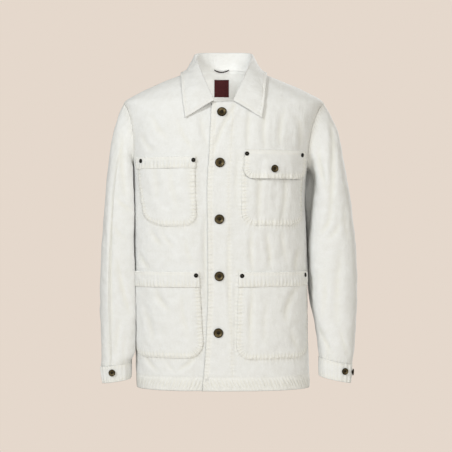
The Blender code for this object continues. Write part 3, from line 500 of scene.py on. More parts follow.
def crumple(points, seed, shortest, longest):
    """Soft unevenness from about -1 to 1, by the place in space."""
    source = np.random.default_rng(seed)
    height = np.zeros(points.shape[:-1])
    for _ in range(CRUMPLE_WAVES):
        direction = unit(source.normal(size=3))
        length = source.uniform(shortest, longest)
        phase = source.uniform(0, 2 * math.pi)
        height += np.sin(points @ direction * (2 * math.pi / length) + phase)
    return height / math.sqrt(CRUMPLE_WAVES)


def on_body(side, reach, height, lift=0.0, back=False):
    """Points and outward directions on the folded body."""
    points, normals = bare_body(side, reach, height, back)
    sunk = folded(points, BACK_FOLDS if back else FRONT_FOLDS)
    facing = ease(0.0, 0.5, np.abs(normals[..., 1]))
    dip = 0.0
    if side == RIGHT and not back:
        past = reach - lap_at(height) - LAP_CLEAR
        dip = LAP_DIP * (1 - ease(0, LAP_EASE, past))
    swell = 0.0004 * crumple(points, 5, 0.030, 0.090) + 0.0002 * crumple(points, 6, 0.014, 0.03)
    away = lift + swell - sunk * facing - dip
    return points + normals * away[..., None], normals


# %% [markdown]
# ## Making one sheet of cloth
#
# A sheet starts from Blender's own grid, whose points are laid on the surface, and Solidify gives
# it the thickness of the twill on its inner side. The cut's own sizes go into the UV map, in
# metres, so the weave in the material runs along the threads and bends with the folds. Real edges
# are turned under and pressed, so near an edge the sheet dips a little and loses its hard corner.

# %% From a grid of points to a sheet
TWILL = 0.0013
MERGE_DISTANCE = 0.00001


def lay_grid(points, cloth, marks, wrap=False):
    """A grid of faces laid on rows of points, with the cloth's own sizes as its UV map.

    The marks are kept for the material: how close each point is to a sewn edge, how much a row of
    stitches draws it up, how deep it lies in a fold, and its place along that row as a second map.
    """
    rows, columns = points.shape[:2]
    bm = bmesh.new()
    bmesh.ops.create_grid(bm, x_segments=columns - 1, y_segments=rows - 1, size=1)
    mesh = bpy.data.meshes.new("grid")
    bm.to_mesh(mesh)
    mesh.vertices.foreach_set("co", points.ravel())
    corner = np.empty(len(mesh.loops), np.int32)
    mesh.loops.foreach_get("vertex_index", corner)
    none = np.zeros((rows, columns))
    seam = np.stack([marks.get("run", none), marks.get("off", none)], -1)
    for key, flat in (("cloth", cloth), ("seam", seam)):
        layer = mesh.uv_layers.new(name=key)
        layer.uv.foreach_set("vector", flat.reshape(-1, 2)[corner].ravel())
    for key in ("sewn", "drawn", "deep"):
        layer = mesh.attributes.new(key, "FLOAT", "POINT")
        layer.data.foreach_set("value", (marks.get(key, 0) + none).ravel())
    bm.clear()
    bm.from_mesh(mesh)
    bpy.data.meshes.remove(mesh)
    if wrap:
        bmesh.ops.remove_doubles(bm, verts=bm.verts, dist=MERGE_DISTANCE)
    return bm


def point_outwards(bm, normals, points):
    """Turns the faces over if they point away from the given directions."""
    bm.faces.ensure_lookup_table()
    middle = bm.faces[len(bm.faces) // 2]
    place = np.array(middle.calc_center_median())
    nearest = np.linalg.norm(points.reshape(-1, 3) - place, axis=1).argmin()
    if middle.normal.dot(Vector(normals.reshape(-1, 3)[nearest])) < 0:
        bmesh.ops.reverse_faces(bm, faces=bm.faces)


def put(name, data):
    """A new object in the scene."""
    thing = bpy.data.objects.new(name, data)
    bpy.context.scene.collection.objects.link(thing)
    return thing


def add_piece(name, bm, material):
    """Lowers the mesh to the frame, gives it its finish and lets it ride with the jacket."""
    bmesh.ops.translate(bm, verts=bm.verts, vec=(0, 0, -HOLD_HEIGHT))
    mesh = bpy.data.meshes.new(name)
    bm.to_mesh(mesh)
    bm.free()
    mesh.shade_smooth()
    mesh.materials.append(material)
    piece = put(name, mesh)
    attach(piece, "root")
    return piece


def add_sheet(node, points, normals, cloth, marks, thickness=TWILL, held="stretched",
              wrap=False, material=None, kind="cloth"):
    """One sheet of cloth with its thickness; the flat size of its cut is printed."""
    bm = lay_grid(points, cloth, marks, wrap)
    bm.normal_update()
    point_outwards(bm, normals, points)
    name = f"{node}_{kind}"
    piece = add_piece(name, bm, material or COTTON)
    wall = piece.modifiers.new("thickness", "SOLIDIFY")
    wall.thickness = thickness
    wall.offset = -1
    wall.use_even_offset = False
    flat, area = cut_of(points)
    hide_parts(node)
    print(name, "faces", len(piece.data.polygons), "cut", [round(side, 3) for side in flat])


def cut_of(points):
    """The flat width and length of a piece, and the area of its cut, in the surface's own sizes."""
    width, length = (run_of(grid)[-1].max() for grid in (points.swapaxes(0, 1), points))
    across = points[1:, 1:] - points[:-1, :-1]
    other = points[1:, :-1] - points[:-1, 1:]
    area = np.linalg.norm(np.cross(across, other), axis=2).sum() / 2
    return (float(width), float(length)), float(min(area, width * length))


# %% Rounding a sheet's edges
EDGE_ROUND = 0.0022  # how far from an edge the dip begins
ALL_SIDES = ("left", "right", "bottom", "top")


def edge_distance(points, open_sides=ALL_SIDES):
    """How far each grid point is from the nearest of the named sides of the grid."""
    across, up = run_of(points.swapaxes(0, 1)).T, run_of(points)
    sides = {"left": across, "right": across[:, -1:] - across, "bottom": up, "top": up[-1:] - up}
    return np.min([sides[side] for side in open_sides], axis=0)


def round_edge(points, normals, distance, depth=0.0007):
    """Dips the sheet next to its edges, as cloth does where it is turned under."""
    return points - normals * (depth * (1 - ease(0, EDGE_ROUND, distance)))[..., None]


# %% [markdown]
# ## Washed cotton twill
#
# The cloth is a heavy off-white twill. Seen close, twill is a fine slanting rib of yarns; from a
# step away only a dry, soft surface is left, a little cloudy from washing. Its creases and the
# valleys of its puckers are given painted shade, a darker and warmer colour for the shade and the
# bounced light in them. A photo texture would carry someone's cloth and light, so the ribs come
# from a wave pattern in the cloth's own UV map, broken up by noise, and they only bend the light,
# as a bump.


# %% Helpers for node materials
def add_node(tree, kind, settings=(), *values, **inputs):
    """A node with settings on itself and values or links on its inputs, by number or by name."""
    node = tree.nodes.new("ShaderNode" + kind)
    for key, value in dict(settings).items():
        setattr(node, key, value)
    named = {key.replace("_", " "): value for key, value in inputs.items()}
    for key, value in [*enumerate(values), *named.items()]:
        if isinstance(value, bpy.types.NodeSocket):
            tree.links.new(value, node.inputs[key])
        else:
            node.inputs[key].default_value = value
    return node


def node_material(name, slot, **inputs):
    """A new material with its tree, its shader and the record's slot."""
    material = bpy.data.materials.new(name)
    material.use_nodes = True
    material["slot"] = slot
    tree = material.node_tree
    shader = tree.nodes["Principled BSDF"]
    for key, value in inputs.items():
        shader.inputs[key.replace("_", " ")].default_value = value
    return material, tree, shader


def calculated(tree, operation, *values, **settings):
    """The result of a Math node."""
    return add_node(tree, "Math", {"operation": operation, **settings}, *values).outputs[0]


def noise(tree, place, scale, detail, **inputs):
    inputs.update(Vector=place, Scale=scale, Detail=detail)
    return add_node(tree, "TexNoise", **inputs).outputs["Fac"]


def ribbed(tree, place, pitch, detail=2.0, direction="X", **inputs):
    """Soft waves with a pitch, across a place."""
    return add_node(tree, "TexWave", {"bands_direction": direction}, Vector=place,
                    Scale=math.pi / (10 * pitch), Detail=detail, **inputs).outputs["Fac"]


def bumped(tree, height, distance, strength, below=None):
    """Directions bent by a height, on top of those of another bump."""
    under = {"Normal": below} if below else {}
    return add_node(tree, "Bump", Height=height, Distance=distance, Strength=strength,
                    **under).outputs["Normal"]


def ramp(tree, value, stops):
    """A colour ramp through (position, colour) stops."""
    node = add_node(tree, "ValToRGB", (), value)
    elements = node.color_ramp.elements
    while len(elements) < len(stops):
        elements.new(0.5)
    for element, (position, colour) in zip(elements, stops):
        element.position = position
        element.color = (*colour, 1)
    return node.outputs["Color"]


def finish(tree, shader, colour, directions):
    tree.links.new(colour, shader.inputs["Base Color"])
    tree.links.new(directions, shader.inputs["Normal"])


# %% The twill itself
CLOTH_LIGHT = (0.800, 0.808, 0.806)
CLOTH_SHADE = (0.742, 0.745, 0.728)
SEAM_CREAM = (0.850, 0.842, 0.800)
FOLD_WARM = (0.745, 0.725, 0.620)  # light that has bounced about inside a fold
RIB, RIB_DEPTH = 0.0011, 0.00016  # from one twill rib to the next, and its height
PUCKER_PITCH, PUCKER_HEIGHT = 0.0082, 0.00070  # of the waves that a row of stitches draws up


def product(tree, first, second, gain=1.0):
    """first x second x gain, as a node output."""
    pair = calculated(tree, "MULTIPLY", first, second)
    return calculated(tree, "MULTIPLY", pair, gain, use_clamp=True)


def tinted(tree, colour, factor, tint):
    """A colour mixed towards a tint by a factor."""
    mix = add_node(tree, "Mix", {"data_type": "RGBA"})
    tree.links.new(factor, mix.inputs["Factor"])
    tree.links.new(colour, mix.inputs[6])
    mix.inputs[7].default_value = (*tint, 1)
    return mix.outputs[2]


def twill_material(name):
    """Off-white twill: cloudy colour by place, ribs and slubs by the cloth's own sizes."""
    material, tree, shader = node_material(
        name, "cotton", Roughness=0.88, Metallic=0.0, Sheen_Weight=0.12, Sheen_Roughness=0.5,
        Specular_IOR_Level=0.25,
    )
    place = add_node(tree, "TexCoord").outputs["Object"]
    cloth, seam = (add_node(tree, "UVMap", {"uv_map": key}).outputs["UV"]
                   for key in ("cloth", "seam"))
    sewn, drawn, deep = (add_node(tree, "Attribute", {"attribute_name": key}).outputs["Fac"]
                         for key in ("sewn", "drawn", "deep"))
    cloud = noise(tree, place, 55.0, 5.0, Roughness=0.7)
    fleck = noise(tree, place, 420.0, 3.0, Roughness=0.7)
    patch = noise(tree, place, 160.0, 4.0, Roughness=0.7)
    mixed = calculated(tree, "MULTIPLY_ADD", fleck, 0.45, cloud)
    colour = ramp(tree, mixed, [(0.48, CLOTH_SHADE), (0.92, CLOTH_LIGHT)])
    waves = ribbed(tree, seam, PUCKER_PITCH, Distortion=3.0, Detail_Scale=1.6)
    valley = calculated(tree, "SUBTRACT", 1.0, waves)
    colour = tinted(tree, colour, product(tree, sewn, patch, 0.8), SEAM_CREAM)
    # painted shade: the valleys of the puckers and the deep folds are tinted a darker, warmer
    # colour for the shade and bounced light in them
    colour = tinted(tree, colour, product(tree, valley, drawn, 0.28), FOLD_WARM)
    colour = tinted(tree, colour, product(tree, deep, patch, 0.55), FOLD_WARM)
    slant = add_node(tree, "Mapping", Vector=cloth, Rotation=(0, 0, math.radians(63)))
    ribs = ribbed(tree, slant.outputs["Vector"], RIB, Distortion=0.6, Detail_Scale=2.0)
    slub = noise(tree, cloth, 900.0, 2.0)
    streak = add_node(tree, "Mapping", Vector=cloth, Rotation=(0, 0, math.radians(-12)),
                      Scale=(120, 42, 1))
    soft = noise(tree, streak.outputs["Vector"], 1.0, 5.0, Roughness=0.6, Distortion=0.6)
    crease = add_node(tree, "TexNoise", {"noise_type": "RIDGED_MULTIFRACTAL"}, Vector=place,
                      Scale=58.0, Detail=4.0, Roughness=0.6, Distortion=0.4)
    directions = bumped(tree, product(tree, waves, drawn), PUCKER_HEIGHT, 1.0)
    directions = bumped(tree, crease.outputs["Fac"], 0.0006, 0.5, directions)
    directions = bumped(tree, soft, 0.0016, 0.6, directions)
    directions = bumped(tree, slub, 0.00012, 0.5, directions)
    directions = bumped(tree, ribs, RIB_DEPTH, 0.6, directions)
    finish(tree, shader, colour, directions)
    return material


COTTON = twill_material("washed_twill")
print("material", COTTON.name)


# %% [markdown]
# ## Puckers beside the sewing
#
# Thread and cotton shrink differently in the wash, so every topstitched edge of a washed jacket is
# drawn into small waves. They are what makes it look sewn. Each one is a low wave that runs across
# the row, fades out a finger's width from it, and never repeats evenly.

# %% Uneven waves along a row of stitches
WANDER_WAVES = 5


def wander(distance, seed, length):
    """An uneven wave from about -1 to 1 along a distance."""
    source = np.random.default_rng(seed)
    wave = np.zeros(np.shape(distance))
    for _ in range(WANDER_WAVES):
        stretch = length * source.uniform(0.82, 1.25)
        wave += np.sin(2 * math.pi * distance / stretch + source.uniform(0, 2 * math.pi))
    return wave / math.sqrt(WANDER_WAVES)


def pucker(run, off, seed, depth, width, length, slant=0.0):
    """Waves along `run` that fade with the distance `off` from the row."""
    strength = 0.8 + 0.25 * wander(run, seed + 50, length * 7)
    waves = wander(run + slant * off, seed, length)
    return depth * waves * strength * fading(off, width)


NO_LEAD = 0.30  # below this lead over the next row, a row's waves fade out


def strongest(*rows):
    """The marks of the row that draws each point up the most; between two alike, none does."""
    runs, offs, pulls = (np.array(np.broadcast_arrays(*column)) for column in zip(*rows))
    best = pulls.argmax(axis=0)[None]
    run, off, drawn = (np.take_along_axis(key, best, 0)[0] for key in (runs, offs, pulls))
    ranked = np.sort(pulls, axis=0)
    lead = ranked[-1] - ranked[-2]
    return {"run": run, "off": off, "drawn": drawn * ease(0, NO_LEAD, lead)}


AT_ONCE = 4000  # points, to spare memory


def nearest(line, reach, height):
    """For each point, the distance along a line of points to its nearest place, and how far off."""
    start, step = line[:-1], np.diff(line, axis=0)
    length = np.linalg.norm(step, axis=1)
    before = run_of(line)[:-1]
    point = np.stack([np.ravel(reach), np.ravel(height)], -1)
    run, off = np.empty((2, len(point)))
    for first in range(0, len(point), AT_ONCE):
        some = slice(first, first + AT_ONCE)
        away = point[some, None] - start
        part = np.clip(np.sum(away * step, -1) / length**2, 0, 1)
        gap = np.linalg.norm(away - part[..., None] * step, axis=-1)
        best = gap.argmin(axis=1)
        rows = np.arange(len(gap))
        off[some] = gap[rows, best]
        run[some] = before[best] + part[rows, best] * length[best]
    return run.reshape(np.shape(reach)), off.reshape(np.shape(reach))


# %% [markdown]
# ## Where the pockets lie
#
# The patch pockets pull at the front they are sewn on, so the front has to know their outlines:
# the same waves run through the pocket's edge and through the cloth under it. Each outline starts
# at the mouth, goes down one side, round both lower corners and up the other side.

# %% Sizes and outlines of the pockets
POCKET_COLUMNS = "mouth_in mouth_out foot_in foot_out foot mouth corner band"
POCKET_NAMES = ("pocket_chest_left", "pocket_chest_right", "pocket_hip_left", "pocket_hip_right")
SIDE_OF = dict(zip(POCKET_NAMES, (LEFT, RIGHT, LEFT, RIGHT)))
POCKETS = table(
    POCKET_COLUMNS,
    (0.0490, 0.2060, 0.0490, 0.2050, 0.3605, 0.5080, 0.028, 0.000),
    (0.0535, 0.2045, 0.0465, 0.1680, 0.3590, 0.5090, 0.030, 0.025),
    (0.0400, 0.2190, 0.0300, 0.2150, 0.0690, 0.2585, 0.032, 0.032),
    (0.0455, 0.2225, 0.0380, 0.2280, 0.0720, 0.2595, 0.036, 0.034),
)
POCKET_ROWS = {
    name: {key: values[index] for key, values in POCKETS.items()}
    for index, name in enumerate(POCKET_NAMES)
}
FLAP_ROW = {
    "foot_in": 0.0520, "foot_out": 0.2035, "mouth_in": 0.0520, "mouth_out": 0.2045,
    "foot": 0.4620, "mouth": 0.5250, "corner": 0.021,
}
OUTER_CORNER = 1.5  # the outer corner's reach, next to the inner one's
POCKET_SEED = 60  # of the waves round the first pocket


def patch_grid(row, columns, heights):
    """(reach, height) of a patch with rounded lower corners, the outer one more than the inner."""
    heights = np.asarray(heights, float)
    part = ((heights - row["foot"]) / (row["mouth"] - row["foot"]))[:, None]
    low = row["foot_in"] + (row["mouth_in"] - row["foot_in"]) * part
    high = row["foot_out"] + (row["mouth_out"] - row["foot_out"]) * part
    below = np.maximum(row["corner"] - (heights - row["foot"]), 0)[:, None]
    inset = row["corner"] - np.sqrt(np.maximum(row["corner"] ** 2 - below**2, 0))
    share = np.linspace(0, 1, columns + 1)[None]
    reach = (low + inset) * (1 - share) + (high - OUTER_CORNER * inset) * share
    return np.stack([reach, heights[:, None] + 0 * reach], -1)


def patch_heights(row, rows):
    """Heights that are close together round the lower corners, then even up to the mouth."""
    turns = np.linspace(0, math.pi / 2, 14)
    bends = row["foot"] + row["corner"] * (1 - np.cos(turns))
    return np.concatenate([bends, np.linspace(bends[-1], row["mouth"], rows)[1:]])


def outline_of(row):
    """The sewn outline of a patch, from one end of its mouth round its foot to the other."""
    grid = patch_grid(row, 40, patch_heights(row, 20))
    line = np.concatenate([grid[::-1, 0], grid[0, 1:-1], grid[:, -1]])
    return resample(line, 160)


POCKET_LINES = {name: outline_of(row) for name, row in POCKET_ROWS.items()}


def sewn_on(side):
    """(number, name) of the pockets on one front."""
    return [(seed, name) for seed, name in enumerate(POCKET_NAMES) if SIDE_OF[name] == side]


def sewing_waves(side, reach, height):
    """Waves of a front round the pockets that are sewn on it."""
    swell = np.zeros(np.shape(reach))
    for seed, name in sewn_on(side):
        run, off = nearest(POCKET_LINES[name], reach, height)
        swell += pucker(run, off, POCKET_SEED + seed, 0.00025, 0.007, 0.012)
    return swell


def front_point(side, reach, height, lift=0.0):
    """Points and directions on a front with its folds and the waves round its pockets."""
    points, normals = on_body(side, reach, height, lift)
    return points + normals * sewing_waves(side, reach, height)[..., None], normals


# %% [markdown]
# ## The fronts and the back
#
# The left front laps over the right one with a placket under five centimetres wide, which has two
# rows of stitches beside its edge and a third one where the facing ends. Both fronts and the back
# have their hems turned up and stitched. The right front sinks a little towards its hidden edge,
# so the two walls never meet.

# %% Both fronts
FACING_REACH = 0.0215  # the row of stitches where the placket's facing ends
HEM_ROW = 0.0295
PLACKET_ROWS = (0.0018, 0.0095)  # its two rows of stitches, from its edge
ARMHOLE_LINE = resample(armhole_edge(False, 60), 90)


def hem_waves(over, height, seed, depth=0.00045):
    """The uneven, slanting waves of a turned-up hem."""
    return (
        pucker(over, height - 0.016, seed, depth, 0.015, 0.015, slant=0.5)
        - 0.0010 * fading(height - HEM_ROW, 0.0022)
    )


def hem_marks(side, reach, height):
    """The marks of a hem: how it is drawn up, and how close each point is to its row."""
    drawn = (side * reach + 0.45 * height, height, 1.2 * fading(height - 0.015, 0.012))
    return drawn, 0.7 * ease(HEM_ROW + 0.004, HEM_ROW - 0.002, height)


def front_surface(side, reach, height):
    """A front with every wave of its sewing."""
    points, normals = front_point(side, reach, height)
    swell = hem_waves(reach, height, 11 + side)
    if side == LEFT:
        from_edge = reach + lap_at(height)
        swell += pucker(height, from_edge - 0.005, 21, 0.00035, 0.010, 0.014)
        swell += 0.0007 * ease(0.0008, -0.0022, reach - FACING_REACH)
        swell -= 0.0005 * fading(from_edge - PLACKET_ROWS[1], 0.0016)
    return points + normals * swell[..., None], normals


def front_shape(side):
    """Points, directions and cloth sizes of one front."""
    reach, height = front_grids[side][..., 0], front_grids[side][..., 1]
    points, normals = front_surface(side, reach, height)
    distance = height
    hem, near_hem = hem_marks(1, reach, height)
    run, off = nearest(ARMHOLE_LINE, reach, height)
    drawn = [hem, (run, off, 0.55 * fading(off - 0.004, 0.008))]
    sewn = [near_hem, 0.7 * fading(off, 0.007)]
    if side == LEFT:
        from_edge = reach + lap_at(height)
        distance = np.minimum(height, from_edge)
        sewn += [ease(0.0150, 0.0100, from_edge), 0.8 * fading(reach - FACING_REACH, 0.0035)]
        drawn += [(height, from_edge, 0.75 * fading(from_edge - 0.005, 0.007)),
                  (height, reach, 0.5 * fading(reach - FACING_REACH, 0.008))]
    for _, name in sewn_on(side):
        run, off = nearest(POCKET_LINES[name], reach, height)
        sewn.append(0.5 * fading(off, 0.0045))
        drawn.append((run, off, 0.6 * fading(off, 0.008)))
    points = round_edge(points, normals, distance)
    marks = {**strongest(*drawn), "sewn": np.max(sewn, axis=0),
             "deep": fold_depth(bare_body(side, reach, height)[0], FRONT_FOLDS)}
    return points, normals, np.stack([side * reach, height], -1), marks


fronts = {}
for side, name in ((LEFT, "front_left"), (RIGHT, "front_right")):
    points, normals, cloth, marks = front_shape(side)
    fronts[side] = (points, normals)
    add_sheet(name, points, normals, cloth, marks)


# %% The back
def back_surface(side, reach, height):
    """Half of the back with the waves of its hem."""
    points, normals = on_body(side, reach, height, back=True)
    swell = hem_waves(side * reach, height, 31)
    return points + normals * swell[..., None], normals


def back_half(side):
    """Points, directions, cloth sizes and marks of half of the back."""
    reach, height = back_grid[..., 0], back_grid[..., 1]
    points, normals = back_surface(side, reach, height)
    points = round_edge(points, normals, height)
    hem, near_hem = hem_marks(side, reach, height)
    off = side_reach(height.ravel(), True).reshape(height.shape) - reach
    marks = {**strongest(hem, (height, off, 0.7 * fading(off - 0.005, 0.008))),
             "sewn": np.maximum(near_hem, 0.8 * ease(0.013, 0.009, off)),
             "deep": fold_depth(bare_body(side, reach, height, True)[0], BACK_FOLDS)}
    return points, normals, np.stack([side * reach, height], -1), marks


backs = {side: back_half(side) for side in (LEFT, RIGHT)}


def both_halves(right, left):
    """One grid of the back from its two halves, which meet at the centre."""
    return np.concatenate([right, left[:, ::-1][:, 1:]], axis=1)


whole_back = [both_halves(backs[RIGHT][key], backs[LEFT][key]) for key in range(3)]
marks = {key: both_halves(backs[RIGHT][3][key], backs[LEFT][3][key]) for key in backs[LEFT][3]}
add_sheet("back", *whole_back, marks)

# %% [markdown]
# ## Sleeves
#
# A set-in sleeve is a tube that starts on the armhole's own curve and soon becomes an oval that
# hangs, bent a little at the elbow. Rings from a table give its outer and inner side and its
# depth; the first rings are eased out of the armhole, so the sleeve head and the body share one
# seam. The rings are joined into a grid whose first and last columns are merged.

# %% The sleeves' rings
SLEEVE_COLUMNS = "station outer_x outer_z inner_x inner_z mid_y half_front half_back"
SLEEVES = {
    LEFT: table(
        SLEEVE_COLUMNS,
        (0, 0.228, 0.636, 0.193, 0.488, 0.000, 0.048, 0.060),
        (1, 0.243, 0.609, 0.197, 0.486, 0.001, 0.056, 0.063),
        (2, 0.259, 0.571, 0.202, 0.480, 0.002, 0.060, 0.065),
        (3, 0.273, 0.506, 0.206, 0.463, 0.002, 0.062, 0.066),
        (4, 0.286, 0.430, 0.203, 0.415, 0.001, 0.061, 0.064),
        (5, 0.293, 0.375, 0.198, 0.365, 0.000, 0.059, 0.062),
        (6, 0.299, 0.317, 0.1945, 0.310, -0.002, 0.057, 0.060),
        (7, 0.3025, 0.250, 0.1955, 0.250, -0.005, 0.055, 0.058),
        (8, 0.3015, 0.190, 0.200, 0.192, -0.009, 0.053, 0.055),
        (9, 0.298, 0.130, 0.209, 0.136, -0.014, 0.050, 0.051),
        (10, 0.295, 0.088, 0.2145, 0.098, -0.018, 0.047, 0.047),
        (11, 0.292, 0.066, 0.2160, 0.079, -0.020, 0.045, 0.045),
        (12, 0.290, 0.052, 0.2165, 0.068, -0.021, 0.044, 0.044),
        (13, 0.287, 0.011, 0.2165, 0.026, -0.024, 0.042, 0.042),
    ),
    RIGHT: table(
        SLEEVE_COLUMNS,
        (0, -0.220, 0.636, -0.195, 0.488, 0.000, 0.048, 0.060),
        (1, -0.231, 0.609, -0.2005, 0.486, 0.003, 0.058, 0.066),
        (2, -0.243, 0.571, -0.2025, 0.480, 0.006, 0.064, 0.070),
        (3, -0.254, 0.506, -0.2015, 0.463, 0.009, 0.069, 0.074),
        (4, -0.262, 0.420, -0.2015, 0.412, 0.010, 0.071, 0.074),
        (5, -0.266, 0.360, -0.2020, 0.355, 0.009, 0.071, 0.073),
        (6, -0.270, 0.300, -0.2025, 0.300, 0.007, 0.070, 0.071),
        (7, -0.2725, 0.240, -0.2020, 0.242, 0.003, 0.067, 0.068),
        (8, -0.2725, 0.180, -0.2015, 0.185, -0.002, 0.063, 0.063),
        (9, -0.270, 0.125, -0.2010, 0.132, -0.008, 0.058, 0.058),
        (10, -0.268, 0.084, -0.2010, 0.092, -0.013, 0.053, 0.053),
        (11, -0.2685, 0.062, -0.2015, 0.071, -0.016, 0.050, 0.050),
        (12, -0.270, 0.048, -0.2020, 0.057, -0.018, 0.048, 0.048),
        (13, -0.265, 0.011, -0.2030, 0.020, -0.020, 0.046, 0.046),
    ),
}
SLEEVE_FOLDS = {
    LEFT: table(
        FOLD_COLUMNS,
        (0.244, 0.600, 0.238, 0.388, 0.0120, 0.0052, -0.004),
        (0.262, 0.560, 0.262, 0.420, 0.0130, -0.0016, -0.003),
        (0.214, 0.530, 0.232, 0.440, 0.0120, 0.0038, 0.004),
        (0.222, 0.346, 0.240, 0.388, 0.0115, 0.0036, 0.003),
        (0.236, 0.330, 0.262, 0.372, 0.0110, 0.0026, 0.003),
        (0.272, 0.400, 0.280, 0.330, 0.0120, 0.0024, 0.003),
        (0.262, 0.300, 0.254, 0.150, 0.0150, 0.0030, 0.004),
        (0.226, 0.260, 0.222, 0.160, 0.0130, 0.0022, -0.003),
        (0.214, 0.136, 0.242, 0.080, 0.0110, 0.0036, 0.003),
        (0.262, 0.130, 0.276, 0.078, 0.0110, 0.0026, 0.002),
        (0.232, 0.110, 0.236, 0.064, 0.0090, 0.0018, 0.002),
    ),
    RIGHT: table(
        FOLD_COLUMNS,
        (-0.243, 0.440, -0.241, 0.110, 0.0070, 0.0034, 0.003),
        (-0.250, 0.400, -0.250, 0.150, 0.0090, -0.0014, 0.003),
        (-0.230, 0.284, -0.203, 0.168, 0.0115, 0.0042, 0.004),
        (-0.232, 0.420, -0.200, 0.394, 0.0100, 0.0036, 0.003),
        (-0.240, 0.360, -0.212, 0.330, 0.0100, 0.0026, 0.003),
        (-0.222, 0.570, -0.214, 0.430, 0.0120, 0.0040, 0.004),
        (-0.238, 0.560, -0.240, 0.460, 0.0120, 0.0024, -0.003),
        (-0.224, 0.150, -0.234, 0.080, 0.0110, 0.0028, 0.003),
        (-0.250, 0.130, -0.246, 0.070, 0.0100, 0.0022, 0.002),
        (-0.212, 0.120, -0.216, 0.066, 0.0090, 0.0020, 0.002),
    ),
}
SLEEVE_ROWS = 170
FRONT_SQUARE, BACK_SQUARE, SIDE_SQUARE = 0.58, 0.62, 0.9  # 1 is an oval, less is flatter
CUFF_STATION = 12
PULLS = {  # how far each sleeve leans in, before the body's side and behind it
    LEFT: table("station front back", (0, 0, 0), (1.5, 0, 0.012), (3, 0.002, 0.036),
                (5, 0.002, 0.034), (7, 0, 0.014), (9, 0, 0.002), (13, 0, 0)),
    RIGHT: table("station front back", (0, 0, 0), (1.5, 0.006, 0.004), (3, 0.026, 0.008),
                 (5, 0.032, 0.008), (8.5, 0.027, 0.004), (11, 0.014, 0), (12, 0, 0), (13, 0, 0)),
}
PULL_SPREAD = 0.6  # less spreads the lean further round the sleeve
OFF_BODY = 0.0042  # the least space between a sleeve and the body
CLEAR_START, CLEAR_END = (1.0, 3.0), (10.5, 12)  # the stations where that sets in and ends
OWN_STATION = 4.5  # from here on, a ring no longer follows the armhole


def grid_normals(points, tube=False):
    """Directions across a grid of points; the columns wrap round on a tube."""
    down = np.gradient(points, axis=0)
    if tube:
        over = (np.roll(points, -1, axis=1) - np.roll(points, 1, axis=1)) / 2
    else:
        over = np.gradient(points, axis=1)
    return unit(np.cross(over, down))


def facing_out(normals, points):
    """The same directions, turned away from the middle of each row."""
    middle = points.mean(axis=1, keepdims=True)
    return normals * np.sign(np.sum(normals * (points - middle), axis=-1).mean())


def sleeve_ring(rows, station, angle):
    """A ring of the sleeve; angle 0 is its outer side and a quarter turn its front."""
    read = {name: along(rows, "station", name, station) for name in SLEEVE_COLUMNS.split()}
    outer, inner = (np.array([read[end + "_x"], read["mid_y"], read[end + "_z"]])
                    for end in ("outer", "inner"))
    across = signed_power(np.cos(angle), SIDE_SQUARE)[:, None]
    sine = np.sin(angle)
    over = signed_power(sine, np.where(sine > 0, FRONT_SQUARE, BACK_SQUARE))
    ring = (outer + inner) / 2 + across * (outer - inner) / 2
    ring[:, 1] -= over * np.where(over > 0, read["half_front"], read["half_back"])
    return ring


def leaning(ring, side, station, angle):
    """A ring drawn in towards the body's side, and kept off it."""
    towards = np.clip(-np.cos(angle), 0, 1)
    ahead, behind = (
        along(PULLS[side], "station", half, station) * np.clip(sine, 0, 1) ** PULL_SPREAD
        for half, sine in (("front", np.sin(angle)), ("back", -np.sin(angle)))
    )
    moved = ring - ((ahead + behind) * towards)[:, None] * [side, 0, 0]
    least = OFF_BODY * ease(*CLEAR_START, station) * (1 - ease(*CLEAR_END, station))
    return clear_of_body(moved, least) if least else moved


# %% The armholes' loops
def armhole_loop(side):
    """Points round the armhole, from the shoulder down the front and up the back."""
    front = fronts[side][0][-FRONT_COUNTS[1] - 1:, 0][::-1]
    back = backs[side][0][-BACK_COUNTS[1] - 1:, 0]
    low = (front[-1] + back[0]) / 2
    high = (front[0] + back[-1]) / 2
    return np.concatenate([[high], front[1:-1], [low], back[1:-1]])


def spread(loop, count):
    """The loop again with `count` points: half down the front and half up the back."""
    bottom = loop[:, 2].argmin()
    first = resample(loop[:bottom + 1], count // 2 + 1)
    second = resample(np.concatenate([loop[bottom:], loop[:1]]), count // 2 + 1)
    return np.concatenate([first[:-1], second[:-1]])


SLEEVE_AROUND = 116


def sleeve_points(side):
    """The sleeve's rings, eased out of the armhole, and the station of each."""
    loop = spread(armhole_loop(side), SLEEVE_AROUND)
    rows = SLEEVES[side]
    angle = 2 * math.pi * np.arange(SLEEVE_AROUND) / SLEEVE_AROUND
    stations = CUFF_STATION * np.linspace(0, 1, SLEEVE_ROWS + 1)
    first = sleeve_ring(rows, 0, angle)
    towards = (1 + np.cos(angle))[:, None] / 2
    grid = []
    for station in stations:
        ring = sleeve_ring(rows, station, angle)
        outer_move = ring[0] - first[0]
        inner_move = ring[SLEEVE_AROUND // 2] - first[SLEEVE_AROUND // 2]
        carried = loop + towards * outer_move + (1 - towards) * inner_move
        own = ease(0, OWN_STATION, station)
        grid.append(leaning((1 - own) * carried + own * ring, side, station, angle))
    return np.array(grid), stations


# %% Sleeves of cloth
SLEEVE_SEAM = {LEFT: 98, RIGHT: 24}  # the grid column of the seam down the outer side
TUCK_DEPTH, TUCK_LENGTH = 0.0030, 0.0022  # of the sleeve's end, which is sewn in under its cuff


